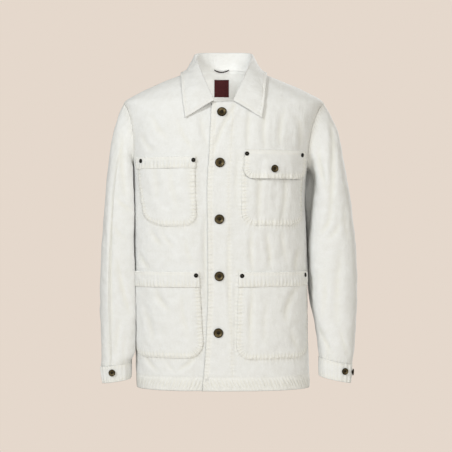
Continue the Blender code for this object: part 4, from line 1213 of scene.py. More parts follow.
def add_sleeve(side, name):
    """Adds a sleeve, and returns its points and directions for the stitches."""
    grid, stations = sleeve_points(side)
    folds = SLEEVE_FOLDS[side]
    normals = facing_out(grid_normals(grid, tube=True), grid)
    front = ease(0.1, 0.6, -normals[..., 1])
    behind = ease(0.1, 0.6, normals[..., 1])
    start = ease(0.2, 2.0, stations)[:, None]
    sunk = folded(grid, folds) * front * start
    sunk += 0.8 * folded(grid + [0.006 * side, 0, 0.034], folds) * behind * start
    beside = np.abs(np.arange(SLEEVE_AROUND + 1) - SLEEVE_SEAM[side])[None]
    below = ease(1.5, 3.5, stations)[:, None]
    sunk += 0.0010 * fading(beside[:, :-1], 0.7) * below
    down = run_of(grid)
    over = np.cumsum(np.linalg.norm(grid - np.roll(grid, 1, axis=1), axis=2), axis=1)
    swell = 0.0006 * crumple(grid, 8, 0.03, 0.09) + 0.0003 * crumple(grid, 9, 0.014, 0.03)
    swell += pucker(over, down, 41 + side, 0.00045, 0.014, 0.016)
    keep = ease(-0.2, 0.35, stations)[:, None]
    points = grid + normals * ((swell - sunk) * keep)[..., None]
    leaving = unit(points[1] - points[0])
    points[0] += leaving * SEAM_GAP * 2
    tuck = points[-1:] - normals[-1:] * TUCK_DEPTH
    tuck += unit(points[-1] - points[-2])[None] * TUCK_LENGTH
    ends = [(points, tuck), (normals, normals[-1:]), (over, over[-1:]), (down, down[-1:] + 0.004),
            (sunk, sunk[-1:])]
    longer = [np.concatenate(pair) for pair in ends]
    closed, closed_normals, over, down, sunk = (
        np.concatenate([key, key[:, :1]], axis=1) for key in longer
    )
    over[:, -1] = over[:, -2] + over[:, 1] - over[:, 0]
    cloth = np.stack([over, -down], -1)
    below = np.concatenate([below, below[-1:]])
    drawn = strongest((over, down, 0.7 * fading(down - 0.004, 0.012)),
                      (over, down, 0.8 * fading(down.max(axis=0) - down, 0.014)),
                      (down, beside, 0.6 * fading(beside, 1.6) * below))
    marks = {**drawn, "deep": np.clip(sunk / DEEP_FOLD, 0, 1),
             "sewn": np.maximum(fading(down, 0.008), 0.6 * fading(beside, 2.0))}
    add_sheet(name, closed, closed_normals, cloth, marks, wrap=True)
    return points, normals


sleeves = {side: add_sleeve(side, name)
           for side, name in ((LEFT, "sleeve_left"), (RIGHT, "sleeve_right"))}

# %% [markdown]
# ## Cuffs
#
# A cuff is a straight band of double cloth, stitched along its top and foot and buttoned on the
# outer side of the wrist. Its upper end lies over its under end, so the band starts a little
# further out and is drawn in to the sleeve's own ring once it has passed under itself. The band is
# pulled into upright waves all round by its two rows of stitches.

# %% Both cuffs
CUFF_CLOTH = 0.0022
THINNER = 0.0002  # what a double sheet loses so that it stays off the cloth below
CREASED = 0.0008  # how far the edge of a double sheet dips
CUFF_START = {LEFT: 41, RIGHT: 28}  # degrees round the wrist, where the upper end stops
CUFF_UNDER = 30  # degrees that the under end goes past it
CUFF_DRAWN_IN = (38, 80)  # degrees past it where the band comes in to the sleeve's ring
CUFF_RING = 72  # steps round the wrist that its middle is read from
CUFF_TOP, CUFF_FOOT = 12.015, 13
CUFF_LIFT = 0.0022  # how far the upper end stands off at its edge
CUFF_COLUMNS, CUFF_ROWS = 190, 20
CUFF_HEIGHT = 0.041
CUFF_LINES = (0.0045, 0.0365)  # how far down the cuff its two rows of stitches are


def cuff_surface(side, angle, station):
    """A point of the cuff's outside at an angle in radians and a station of the sleeve."""
    rows = SLEEVES[side]
    start = math.radians(CUFF_START[side])
    full = np.linspace(0, 2 * math.pi, CUFF_RING + 1)[:-1]
    lap = 1 - ease(*(start + math.radians(turn) for turn in CUFF_DRAWN_IN), angle)
    grid = []
    for level in station:
        ring = sleeve_ring(rows, level, angle)
        away = unit((ring - sleeve_ring(rows, level, full).mean(axis=0)) * [1, 1, 0])
        lifted = CUFF_LIFT * (1 - ease(start, start + 0.45, angle))
        step = 2 * SEAM_GAP + (CUFF_CLOTH + 2 * SEAM_GAP) * lap + lifted
        grid.append(ring + away * step[:, None])
    grid = np.array(grid)
    normals = facing_out(grid_normals(grid), grid)
    steps = np.linalg.norm(np.gradient(grid[len(grid) // 2], axis=0), axis=1)
    over = np.cumsum(steps)[None] + 0 * grid[..., 0]
    part = (station - station[0]) / (station[-1] - station[0])
    down = CUFF_HEIGHT * part[:, None] + 0 * over
    swell = 0.0004 * wander(over, 71 + side, 0.0115)
    swell += 0.0003 * crumple(grid, 12, 0.02, 0.05)
    swell -= sum(0.0004 * fading(down - line, 0.0016) for line in CUFF_LINES)
    return grid + normals * swell[..., None], normals, over, down


def by_cuff_rows(down, width):
    """1 on either row of stitches and less beside them."""
    return np.max([fading(down - line, width) for line in CUFF_LINES], axis=0)


cuffs = {}
for side, name in ((LEFT, "cuff_left"), (RIGHT, "cuff_right")):
    start = math.radians(CUFF_START[side])
    stop = start + 2 * math.pi + math.radians(CUFF_UNDER)
    angle = np.linspace(start, stop, CUFF_COLUMNS + 1)
    station = np.linspace(CUFF_TOP, CUFF_FOOT, CUFF_ROWS + 1)
    points, normals, over, down = cuff_surface(side, angle, station)
    points = round_edge(points, normals, edge_distance(points), CREASED)
    cuffs[side] = (points, normals, angle)
    marks = {"run": over, "off": down, "drawn": 0.3 + 0.4 * by_cuff_rows(down, 0.009),
             "sewn": 0.8 * by_cuff_rows(down, 0.005)}
    add_sheet(name, points, normals, np.stack([over, -down], -1), marks, CUFF_CLOTH - THINNER)

# %% [markdown]
# ## The collar
#
# The collar is one band: up the stand from the neck seam, over a soft roll and down the fall to
# the points. It follows a table of its roll line and its outer edge from each front end to the
# centre back. The fall bulges a little and is kept clear of the shoulders below it. Its edge has a
# turned seam and a row of stitches, and both give it a firm lip.

# %% Lines of the collar
COLLAR_CLOTH = 0.0022
ROLL_WIDTH = 0.0062
ROLL_DROP = 0.0008
COLLAR_LIFT = 0.0030
STAND_HOLLOW = 0.002  # how far the stand bows in between the seam and the roll
STAND_ROWS, ROLL_ROWS, FALL_ROWS = 14, 9, 44
FALL_CRUMPLE = (22, 34)  # the rows of the mesh between which the crumple grows to its full height
COLLAR_ROW = 0.0065  # the stitches' distance from the collar's edge
COLLAR = table(
    "around roll_x roll_y roll_z edge_x edge_y edge_z bulge",
    (0.00, 0.0215, -0.0945, 0.6330, 0.083, -0.1000, 0.5930, 0.003),
    (0.10, 0.0290, -0.0880, 0.6500, 0.087, -0.0940, 0.6150, 0.004),
    (0.22, 0.0385, -0.0750, 0.6720, 0.0905, -0.0860, 0.6420, 0.004),
    (0.36, 0.0480, -0.0540, 0.6970, 0.093, -0.0640, 0.6700, 0.002),
    (0.50, 0.0570, -0.0220, 0.7240, 0.094, -0.0350, 0.6895, 0.000),
    (0.62, 0.0625, 0.0120, 0.7410, 0.093, 0.0000, 0.6990, -0.001),
    (0.74, 0.0580, 0.0420, 0.7500, 0.083, 0.0380, 0.7010, 0.002),
    (0.87, 0.0340, 0.0600, 0.7540, 0.050, 0.0660, 0.7040, 0.005),
    (1.00, 0.0000, 0.0660, 0.7550, 0.000, 0.0770, 0.7050, 0.005),
)


def neck_seam(key):
    """The neckline all the way round, from the right front's end to the left one's."""
    front_start, back_start = FRONT_COUNTS[2], BACK_COUNTS[2]
    count = FRONT_COUNTS[3]
    right, left = (fronts[side][key][-1, front_start:front_start + count + 1]
                   for side in (RIGHT, LEFT))
    behind_right, behind_left = (backs[side][key][-1, back_start:] for side in (RIGHT, LEFT))
    return np.concatenate([right[::-1], behind_right[1:], behind_left[-2::-1], left[1:]])


def collar_rows(seam, out):
    """The rows of the collar, from the neck seam over the roll to the outer edge."""
    half = len(seam) // 2
    first = np.concatenate([np.linspace(0, 0.5, FRONT_COUNTS[3] + 1),
                            np.linspace(0.5, 1, BACK_COUNTS[3] + 1)[1:]])
    around = np.concatenate([first, first[-2::-1]])
    side = np.sign(np.arange(len(seam)) - half)
    read = {name: along(COLLAR, "around", name, around) for name in COLLAR}
    centre = body_at("sway", NECK_SIDE_HEIGHT)
    roll, edge = (
        np.stack([side * read[line + "_x"] + centre, read[line + "_y"], read[line + "_z"]], -1)
        for line in ("roll", "edge")
    )
    leaving = unit(np.cross(np.gradient(seam, axis=0), out))
    inward = -unit(out * [1, 1, 0])
    base = seam + leaving * 2 * SEAM_GAP - out * COLLAR_CLOTH
    least = COLLAR_CLOTH + COLLAR_LIFT
    bulge = unit(body_slope(edge))
    rows = []
    for part in np.linspace(0, 1, STAND_ROWS + 1)[:-1]:
        hollow = STAND_HOLLOW * (1 - part) * ease(0, 0.3, part)
        rows.append(base + (roll - base) * part + inward * hollow)
    over = roll - inward * ROLL_WIDTH - [0, 0, ROLL_DROP]
    middle, arm = (roll + over) / 2, (roll - over) / 2
    for turn in np.linspace(0, math.pi, ROLL_ROWS + 1)[:-1]:
        rows.append(middle + arm * math.cos(turn) + [0, 0, 0.5 * ROLL_WIDTH * math.sin(turn)])
    for part in np.linspace(0, 1, FALL_ROWS):
        swell = 4 * part * (1 - part) * read["bulge"][:, None]
        fall = over + (edge - over) * part + bulge * swell
        rows.append(clear_of_body(fall, least * ease(-0.2, 0.3, part)))
    return np.array(rows)


# %% The collar of cloth
neck_line, neck_out = neck_seam(0), neck_seam(1)
grid = collar_rows(neck_line, neck_out)
normals = grid_normals(grid)
normals *= np.sign(np.sum(normals[4] * -unit(neck_out * [1, 1, 0]), axis=-1).mean())
off_edge = edge_distance(grid, ("left", "right", "top"))
over = np.cumsum(np.linalg.norm(np.gradient(grid[-1], axis=0), axis=1))[None] + 0 * off_edge
down = np.cumsum(np.linalg.norm(np.gradient(grid, axis=0), axis=2), axis=0)
fall = ease(*FALL_CRUMPLE, np.arange(len(grid)))[:, None]
swell = 0.0006 * crumple(grid, 15, 0.025, 0.07) + 0.0003 * crumple(grid, 16, 0.01, 0.025)
off_top = edge_distance(grid, ("top",)) - COLLAR_ROW
swell += pucker(over + 0.4 * down, off_top, 81, 0.0003, 0.0095, 0.0085)
swell -= 0.0007 * fading(off_edge - COLLAR_ROW, 0.0018)
swell *= 0.25 + 0.75 * fall
collar_points = round_edge(grid + normals * swell[..., None], normals, off_edge, CREASED)
collar_normals = normals
marks = {"sewn": 0.3 * ease(0.010, 0.006, off_edge), "run": over, "off": off_edge,
         "drawn": 0.45 * fall * fading(off_edge - 0.005, 0.006)}
add_sheet("collar", collar_points, normals, np.stack([over, -down], -1), marks,
          COLLAR_CLOTH - THINNER, held="folded")

# %% [markdown]
# ## Patch pockets, their bands and the flap
#
# Each pocket is a patch with rounded lower corners, sewn on with two rows of stitches and left
# open at the top. Three of them have a band across the mouth; the fourth has a buttoned flap that
# is sewn to the front above it and stands off a little at its foot. The patches use the front's
# own surface with a small lift, so they follow its folds, and their sewn edges are pressed down to
# it.

# %% Pockets
POCKET_CLOTH = 0.0015
POCKET_LIFT = 0.0012
PATCH_ROWS = (0.0022, 0.0085)  # the two rows of stitches, from the patch's edge
BAND_CLOTH = 0.0012
BAND_LIFT = POCKET_LIFT + POCKET_CLOTH + 3 * SEAM_GAP + BAND_CLOTH
BAND_RISE = 0.0005
POCKET_COLUMNS_ROWS, BAND_COLUMNS_ROWS, FLAP_COLUMNS_ROWS = (88, 62), (110, 24), (96, 28)
BANDS = {
    "pocket_chest_right": "band_chest_right",
    "pocket_hip_left": "band_hip_left",
    "pocket_hip_right": "band_hip_right",
}


def groove(distance, depth=0.0004):
    """The valley that a row of stitches presses into the cloth."""
    return depth * fading(distance, 0.0012)


def pocket_surface(name, reach, height):
    """The outside of a pocket, pressed down along its sewn edge."""
    points, normals = front_point(SIDE_OF[name], reach, height, POCKET_LIFT + POCKET_CLOTH)
    run, off = nearest(POCKET_LINES[name], reach, height)
    swell = 0.0005 * ease(0.006, 0.022, off) + 0.0004 * crumple(points, 18, 0.02, 0.06)
    swell -= 0.0011 * (1 - ease(0, 0.0040, off))
    swell -= groove(off - PATCH_ROWS[0]) + groove(off - PATCH_ROWS[1])
    seed = POCKET_SEED + POCKET_NAMES.index(name)
    swell += pucker(run, off - 0.006, seed, 0.00030, 0.008, 0.012)
    return points + normals * swell[..., None], normals


columns, rows = POCKET_COLUMNS_ROWS
for name in POCKET_NAMES:
    row, side = POCKET_ROWS[name], SIDE_OF[name]
    reach, height = np.moveaxis(patch_grid(row, columns, patch_heights(row, rows)), -1, 0)
    points, normals = pocket_surface(name, reach, height)
    points = round_edge(points, normals, row["mouth"] - height, 0.0009)
    cloth = np.stack([side * reach, height + 0.0004], -1)
    run, off = nearest(POCKET_LINES[name], reach, height)
    marks = strongest((run, off, fading(off - 0.006, 0.0075)),
                      (reach, height, 0.4 * fading(row["mouth"] - height - 0.006, 0.008)))
    marks["sewn"] = ease(0.0125, 0.0085, off)
    marks["deep"] = fold_depth(bare_body(side, reach, height)[0], FRONT_FOLDS)
    add_sheet(name, points, normals, cloth, marks, POCKET_CLOTH)


# %% Bands across the mouths
def band_surface(pocket, reach, height):
    """The outside of a band; its foot is sewn down and drawn into short upright waves."""
    row = POCKET_ROWS[pocket]
    points, normals = front_point(SIDE_OF[pocket], reach, height, BAND_LIFT)
    foot = height - (row["mouth"] - row["band"])
    top = row["mouth"] + BAND_RISE - height
    swell = 0.0003 * crumple(points, 19, 0.015, 0.05)
    swell += pucker(reach, foot - 0.008, 90 + len(pocket), 0.00040, 0.011, 0.0105)
    swell -= groove(foot - 0.0030) + groove(top - 0.0040, 0.0003)
    return points + normals * swell[..., None], normals


columns, rows = BAND_COLUMNS_ROWS
for pocket, name in BANDS.items():
    row = POCKET_ROWS[pocket]
    heights = np.linspace(row["mouth"] - row["band"], row["mouth"] + BAND_RISE, rows)
    reach, height = np.moveaxis(patch_grid({**row, "corner": 0}, columns, heights), -1, 0)
    points, normals = band_surface(pocket, reach, height)
    edge = edge_distance(points)
    points = round_edge(points, normals, edge, CREASED)
    cloth = np.stack([SIDE_OF[pocket] * height, reach], -1)
    foot = height - (row["mouth"] - row["band"])
    marks = {"sewn": 0.8 * ease(0.010, 0.006, edge), "run": reach, "off": foot,
             "drawn": np.maximum(fading(foot - 0.007, 0.011), 0.35)}
    add_sheet(name, points, normals, cloth, marks, BAND_CLOTH)

# %% The flap
FLAP_LIFT = 0.0031
FLAP_STAND = 0.0062  # how far its foot stands off
FLAP_LINE = outline_of(FLAP_ROW)


def flap_surface(reach, height):
    """The outside of the flap, sewn down to the front along its top."""
    points, normals = front_point(LEFT, reach, height)
    run, off = nearest(FLAP_LINE, reach, height)
    top = FLAP_ROW["mouth"] - height
    drop = top / (FLAP_ROW["mouth"] - FLAP_ROW["foot"])
    away = FLAP_LIFT + POCKET_CLOTH + FLAP_STAND * drop**1.5
    away -= 0.0028 * (1 - ease(0.0, 0.0075, top))
    away += 0.0004 * crumple(points, 20, 0.02, 0.05)
    away += pucker(run, off - 0.005, 101, 0.00045, 0.010, 0.012)
    away -= groove(off - PATCH_ROWS[0]) + groove(off - PATCH_ROWS[1]) + groove(top - 0.0085)
    return points + normals * np.asarray(away)[..., None], normals


columns, rows = FLAP_COLUMNS_ROWS
cloth = patch_grid(FLAP_ROW, columns, patch_heights(FLAP_ROW, rows))
reach, height = np.moveaxis(cloth, -1, 0)
points, normals = flap_surface(reach, height)
run, off = nearest(FLAP_LINE, reach, height)
edge = np.minimum(off, FLAP_ROW["mouth"] - height)
marks = {"run": run, "off": off, "drawn": 0.9 * fading(off - 0.005, 0.008),
         "sewn": ease(0.0125, 0.0085, edge)}
add_sheet("flap_chest_left", round_edge(points, normals, edge, 0.0006), normals, cloth, marks,
          POCKET_CLOTH)

# %% [markdown]
# ## Aged brass buttons and dark rivets
#
# The buttons are stamped metal with a rolled rim, a dished face and a small boss in the middle.
# Such a round part is turned: its outline is drawn once and spun about its axis. The old finish is
# darker in the dish than on the ring that fingers rub, so the material reads a UV map that holds
# how far each point is from the middle. The rivets are small dark caps with a raised centre.

# %% Metal that has aged
def aged_metal(name, slot, stops, roughness, bump):
    """Metal whose colour goes from the middle to the rim, with a blotchy patina."""
    material, tree, shader = node_material(name, slot, Roughness=roughness, Metallic=0.85)
    ring = add_node(tree, "UVMap", {"uv_map": "ring"}).outputs["UV"]
    from_middle = add_node(tree, "SeparateXYZ", Vector=ring).outputs["X"]
    place = add_node(tree, "TexCoord").outputs["Object"]
    blotch = noise(tree, place, 520.0, 5.0, Roughness=0.65)
    grit = noise(tree, place, 2600.0, 2.0)
    shifted = calculated(tree, "MULTIPLY_ADD", blotch, 0.30, from_middle)
    dull = add_node(tree, "MapRange", Value=blotch,
                    To_Min=roughness - 0.10, To_Max=roughness + 0.16)
    tree.links.new(dull.outputs["Result"], shader.inputs["Roughness"])
    finish(tree, shader, ramp(tree, shifted, stops), bumped(tree, grit, bump, 0.6))
    return material


BRASS = aged_metal("aged_brass_finish", "aged_brass", [
    (0.12, (0.085, 0.060, 0.040)), (0.24, (0.012, 0.009, 0.006)), (0.46, (0.030, 0.023, 0.012)),
    (0.72, (0.120, 0.092, 0.046)), (0.96, (0.080, 0.058, 0.028)), (1.10, (0.022, 0.017, 0.009)),
], 0.42, 0.00004)
DARK_METAL = aged_metal("dark_metal_finish", "dark_metal", [
    (0.15, (0.055, 0.048, 0.042)), (0.55, (0.018, 0.016, 0.014)), (1.0, (0.010, 0.009, 0.008)),
], 0.45, 0.00003)

# %% Turning a round piece
TURN_STEPS = 36


def add_turned(name, outline_steps, radius, thickness, place, direction, material, stand_in_for):
    """A piece spun from (radius, height) steps, seated at a place and facing a direction."""
    profile = [(r * radius, z * thickness) for r, z in outline_steps]
    bm = bmesh.new()
    steps = [bm.verts.new((reach, 0, height)) for reach, height in profile]
    outline_edges = [bm.edges.new(pair) for pair in zip(steps, steps[1:])]
    bmesh.ops.spin(
        bm, geom=steps + outline_edges, axis=(0, 0, 1), cent=(0, 0, 0), steps=TURN_STEPS,
        angle=2 * math.pi, use_merge=True,
    )
    bmesh.ops.remove_doubles(bm, verts=bm.verts, dist=0.000005)
    bmesh.ops.recalc_face_normals(bm, faces=bm.faces)
    ring = bm.loops.layers.uv.new("ring")
    for face in bm.faces:
        for loop in face.loops:
            x, y, _ = loop.vert.co
            loop[ring].uv = (math.hypot(x, y) / radius, 0.5)
    turn = Vector(direction).to_track_quat("Z", "Y").to_matrix().to_4x4()
    bmesh.ops.transform(bm, matrix=Matrix.Translation(Vector(place)) @ turn, verts=bm.verts)
    piece = add_piece(name, bm, material)
    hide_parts(stand_in_for)


BUTTON_PROFILE = [
    (0, 0), (0.30, 0), (0.55, 0), (0.60, 0.30), (0.90, 0.36), (0.965, 0.44), (0.995, 0.56),
    (1.0, 0.68), (0.98, 0.82), (0.93, 0.94), (0.86, 1.0), (0.78, 0.985), (0.68, 0.90),
    (0.56, 0.74), (0.45, 0.60), (0.36, 0.53), (0.30, 0.50), (0.25, 0.53), (0.22, 0.62),
    (0.17, 0.70), (0.09, 0.745), (0, 0.755),
]
RIVET_PROFILE = [
    (0, 0), (0.5, 0), (0.97, 0), (1.0, 0.14), (0.99, 0.30), (0.93, 0.46), (0.82, 0.58),
    (0.66, 0.66), (0.52, 0.66), (0.44, 0.72), (0.38, 0.88), (0.28, 0.97), (0.14, 1.0), (0, 1.0),
]
BUTTON_RADIUS, BUTTON_THICKNESS = 0.0105, 0.0042
FLAP_BUTTON_RADIUS, CUFF_BUTTON_RADIUS, SMALL_BUTTON_THICKNESS = 0.0083, 0.0075, 0.0035
RIVET_RADIUS, RIVET_THICKNESS = 0.0048, 0.0020

# %% Buttons down the front and on the flap
BUTTON_HEIGHTS = (0.6065, 0.4963, 0.3739, 0.2502, 0.1273)
BUTTON_REACH = (-0.0020, -0.0002, 0.0005, -0.0013, -0.0060)
FLAP_BUTTON = (0.1173, 0.4836)


def at(surface, *place, off=SEAM_GAP):
    """One point of a surface, a little off it, and the direction there."""
    points, normals = surface(*[np.array([value]) if isinstance(value, float) else value
                                for value in place])
    return points[0] + normals[0] * off, normals[0]


for number, (reach, height) in enumerate(zip(BUTTON_REACH, BUTTON_HEIGHTS), 1):
    place, out = at(on_body, LEFT, reach, height)
    add_turned(f"brass_front_{number}", BUTTON_PROFILE, BUTTON_RADIUS, BUTTON_THICKNESS,
               place, out, BRASS, f"button_front_{number}")
place, out = at(flap_surface, *FLAP_BUTTON, off=2 * SEAM_GAP)
add_turned("brass_flap", BUTTON_PROFILE, FLAP_BUTTON_RADIUS, SMALL_BUTTON_THICKNESS,
           place, out, BRASS, "button_flap")

# %% Buttons on the cuffs
CUFF_BUTTONS = {
    "cuff_left": (LEFT, 65),
    "cuff_left_spare": (LEFT, 376),
    "cuff_right": (RIGHT, 82),
}
CUFF_MIDDLE = 9  # the row of the cuff that its buttons sit on
for name, (side, turn) in CUFF_BUTTONS.items():
    points, normals, angle = cuffs[side]
    column = np.abs(angle - math.radians(turn)).argmin()
    out = normals[CUFF_MIDDLE, column]
    place = points[CUFF_MIDDLE, column] + out * 2 * SEAM_GAP
    add_turned("brass_" + name, BUTTON_PROFILE, CUFF_BUTTON_RADIUS, SMALL_BUTTON_THICKNESS,
               place, out, BRASS, "button_" + name)

# %% Rivets at the pockets' upper corners
RIVET_DROP = 0.0075
RIVET_INSET = (0.0072, 0.0040, 0.0072, 0.0064)
RIVET_OUTER_INSET = (0.0185, 0.0220, 0.0160, 0.0130)
FLAP_RIVET_DROP = 0.0100
for index, name in enumerate(POCKET_NAMES):
    row = POCKET_ROWS[name]
    for where, inset in (("in", RIVET_INSET[index]), ("out", -RIVET_OUTER_INSET[index])):
        reach = row["mouth_" + where] + inset
        if name in BANDS:
            place, out = at(band_surface, name, float(reach), float(row["mouth"] - RIVET_DROP))
        else:
            place, out = at(flap_surface, float(reach), FLAP_ROW["mouth"] - FLAP_RIVET_DROP)
        label = name.replace("pocket_", "") + "_" + where
        add_turned("cap_" + label, RIVET_PROFILE, RIVET_RADIUS, RIVET_THICKNESS,
                   place, out, DARK_METAL, "rivet_" + label)

# %% [markdown]
# ## Inside the neck: the label and the hanging loop
#
# A label of dense burgundy satin is sewn below the neck seam, left bare here, and above it a short
# dark cord is caught in the seam so that the jacket can hang on a hook. The label is a small sheet
# on the back's inner side; the cord is a tube swept along a sagging line.

# %% Burgundy weave
def woven(name, dark, light, thread):
    """Dense shiny thread: fine ribs across each other, in the piece's own sizes."""
    material, tree, shader = node_material(name, "burgundy_weave", Roughness=0.7, Metallic=0.0,
                                           Specular_IOR_Level=0.15)
    cloth = add_node(tree, "UVMap", {"uv_map": "cloth"}).outputs["UV"]
    both_ways = [ribbed(tree, cloth, thread, 1.0, direction, Distortion=0.4) for direction in "XY"]
    crossed = calculated(tree, "MULTIPLY", *both_ways)
    colour = ramp(tree, crossed, [(0.0, dark), (0.7, light)])
    finish(tree, shader, colour, bumped(tree, crossed, 0.0001, 0.7))
    return material


LABEL_WEAVE = woven("label_weave", (0.040, 0.006, 0.008), (0.095, 0.017, 0.018), 0.0006)
LOOP_WEAVE = woven("loop_weave", (0.010, 0.004, 0.005), (0.030, 0.010, 0.012), 0.0009)

# %% The label
LABEL_WIDTH, LABEL_HEIGHT, LABEL_TOP, LABEL_CLOTH = 0.034, 0.038, 0.697, 0.0008
NECK_TRIM_X = -0.0012
height, across = np.meshgrid(
    np.linspace(LABEL_TOP - LABEL_HEIGHT, LABEL_TOP, 25),
    NECK_TRIM_X + np.linspace(-LABEL_WIDTH / 2, LABEL_WIDTH / 2, 23), indexing="ij",
)
sway = body_at("sway", height)
both = [back_surface(side, np.abs(across - sway), height) for side in (LEFT, RIGHT)]
on_left = (across > sway)[..., None]
points, normals = (np.where(on_left, both[0][k], both[1][k]) for k in (0, 1))
points = points - normals * (TWILL + SEAM_GAP + LABEL_CLOTH)
points -= normals * 0.0004 * (1 + crumple(points, 23, 0.012, 0.03))[..., None]
cloth = np.stack([across, height], -1)
points = round_edge(points, -normals, edge_distance(points), 0.0004)
add_sheet("neck_label", points, -normals, cloth, {}, LABEL_CLOTH,
          material=LABEL_WEAVE, kind="weave")

# %% The hanging loop
LOOP_HALF, LOOP_SAG, LOOP_TOP, LOOP_OFF = 0.017, 0.005, 0.7165, 0.0031
LOOP_THICKNESS = 0.0026
part = np.linspace(-1, 1, 41)
x = NECK_TRIM_X + LOOP_HALF * part
behind = neck_line[FRONT_COUNTS[3]:-FRONT_COUNTS[3]]
y = np.interp(x, behind[:, 0], behind[:, 1]) - LOOP_OFF
path = np.stack([x, y, LOOP_TOP - LOOP_SAG * (1 - part**2)], -1)
around = np.linspace(0, 2 * math.pi, 15)
ring = np.stack([0 * around, np.cos(around) / 2, np.sin(around)], -1) * LOOP_THICKNESS / 2
twist = 1 + 0.07 * np.cos(2 * around[None] - 60 * part[:, None])
points = path[:, None] + ring[None] * twist[..., None]
points[0] = points[0] * 0.25 + path[0] * 0.75
points[-1] = points[-1] * 0.25 + path[-1] * 0.75
cloth = np.stack(np.broadcast_arrays(LOOP_HALF * part[:, None], 0.0006 * around), -1)
bm = lay_grid(points, cloth, {}, wrap=True)
bmesh.ops.holes_fill(bm, edges=[edge for edge in bm.edges if edge.is_boundary])
bmesh.ops.recalc_face_normals(bm, faces=bm.faces)
loop_piece = add_piece("hanger_loop_cord", bm, LOOP_WEAVE)
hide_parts("hanger_loop")

# %% [markdown]
# ## Stitches
#
# Every row of topstitching is sewn in thick thread of the cloth's own colour. Each stitch is a
# small grain, about two millimetres of thread between two holes, half sunk in the cloth. One grain
# has only twenty triangles, because there are thousands of them. The rows are read from the same
# surfaces as the cloth, so the stitches ride over its puckers.

# %% A row of grains
STITCH_PITCH = 0.0031
STITCH_LENGTH = 0.0024
STITCH_WIDTH = 0.00052
STITCH_RISE = 0.00034


def thread_material():
    """Creamy mercerised thread with a fine twist."""
    material, tree, shader = node_material("cream_thread", "cotton", Roughness=0.7, Metallic=0.0,
                                           Sheen_Weight=0.1)
    fibre = noise(tree, add_node(tree, "TexCoord").outputs["Object"], 900.0, 2.0)
    colour = ramp(tree, fibre, [(0.3, (0.66, 0.64, 0.57)), (0.7, (0.80, 0.78, 0.71))])
    finish(tree, shader, colour, bumped(tree, fibre, 0.00008, 0.5))
    return material


THREAD = thread_material()


def stitch_grain():
    """One round grain of twenty triangles, to be stretched into every stitch."""
    bm = bmesh.new()
    bmesh.ops.create_uvsphere(bm, u_segments=5, v_segments=3, radius=1)
    grain = bpy.data.meshes.new("grain")
    bm.to_mesh(grain)
    bm.free()
    return grain


GRAIN = stitch_grain()


def sew(name, rows):
    """One thread piece of many grains, along rows of points and directions on the cloth."""
    bm = bmesh.new()
    count = 0
    for points, normals in rows:
        both = resample(np.concatenate([points, normals], -1), len(points) * 2)
        line, run = both[:, :3], run_of(both[:, :3])
        places = np.arange(STITCH_PITCH / 2, run[-1], STITCH_PITCH)
        centre = read_line(line, run, places)
        out = unit(read_line(both[:, 3:], run, places))
        lead = unit(read_line(line, run, places + 0.001) - read_line(line, run, places - 0.001))
        over = unit(np.cross(out, lead))
        rise = np.cross(lead, over)
        for middle, length, width, height in zip(
            centre, lead * STITCH_LENGTH / 2, over * STITCH_WIDTH / 2, rise * STITCH_RISE / 2
        ):
            place = np.eye(4)
            place[:3] = np.stack([width, height, length, middle], -1)
            grain = GRAIN.copy()
            grain.transform(Matrix(place))
            bm.from_mesh(grain)
            bpy.data.meshes.remove(grain)
            count += 1
    add_piece(name, bm, THREAD)
    print(name, "stitches", count, "rows", len(rows))


# %% Rows on the fronts and the back
def line_of(reach, height, count=240):
    """An evenly spaced line through (reach, height) points."""
    reach, height = np.broadcast_arrays(reach, height)
    line = resample(np.stack([reach, height], -1), count)
    return line[:, 0], line[:, 1]


SHORT = 0.002  # how far a row stops short of a seam
ARMHOLE_ROW = 0.0050  # its distance from the armhole
SEAM_ROWS = (0.0020, 0.0085)  # the two rows beside the side and shoulder seams
levels = np.linspace(0.001, NECK_FRONT_HEIGHT - SHORT, 120)
reaches = [off - lap_at(levels) for off in PLACKET_ROWS] + [FACING_REACH]
rows = [front_surface(LEFT, *line_of(reach, levels, 420)) for reach in reaches]
for side, inner in ((LEFT, -0.03), (RIGHT, -LAP)):
    last = side_reach(np.array([HEM_ROW]))[0] - SHORT
    rows.append(front_surface(side, *line_of(np.array([inner, last]), HEM_ROW)))
    inset = ARMHOLE_LINE - [ARMHOLE_ROW, 0]
    rows.append(front_surface(side, inset[:, 0], inset[:, 1]))
sew("thread_fronts", rows)

rows = []
for side in (LEFT, RIGHT):
    last = side_reach(np.array([HEM_ROW]), True)[0] - SHORT
    rows.append(back_surface(side, *line_of(np.array([0.0, last]), HEM_ROW)))
    seam_levels = np.linspace(SHORT, UNDERARM_HEIGHT - 2 * SHORT, 200)
    shoulder_levels = np.linspace(SHOULDER_HEIGHT + SHORT, NECK_SIDE_HEIGHT - SHORT, 60)
    armhole = resample(armhole_edge(True, 60), 90) - [ARMHOLE_ROW, 0]
    rows.append(back_surface(side, armhole[:, 0], armhole[:, 1]))
    for off in SEAM_ROWS:
        for heights in (seam_levels, shoulder_levels):
            rows.append(back_surface(side, side_reach(heights, True) - off, heights))
sew("thread_back", rows)

# %% Rows on the pockets, the bands and the flap
def inner_line(row, off):
    """The outline of a patch that is smaller all round but for its mouth."""
    smaller = {key: row[key] + off for key in ("foot_in", "mouth_in", "foot")}
    smaller.update({key: row[key] - off for key in ("foot_out", "mouth_out", "corner")})
    return outline_of({**row, **smaller})


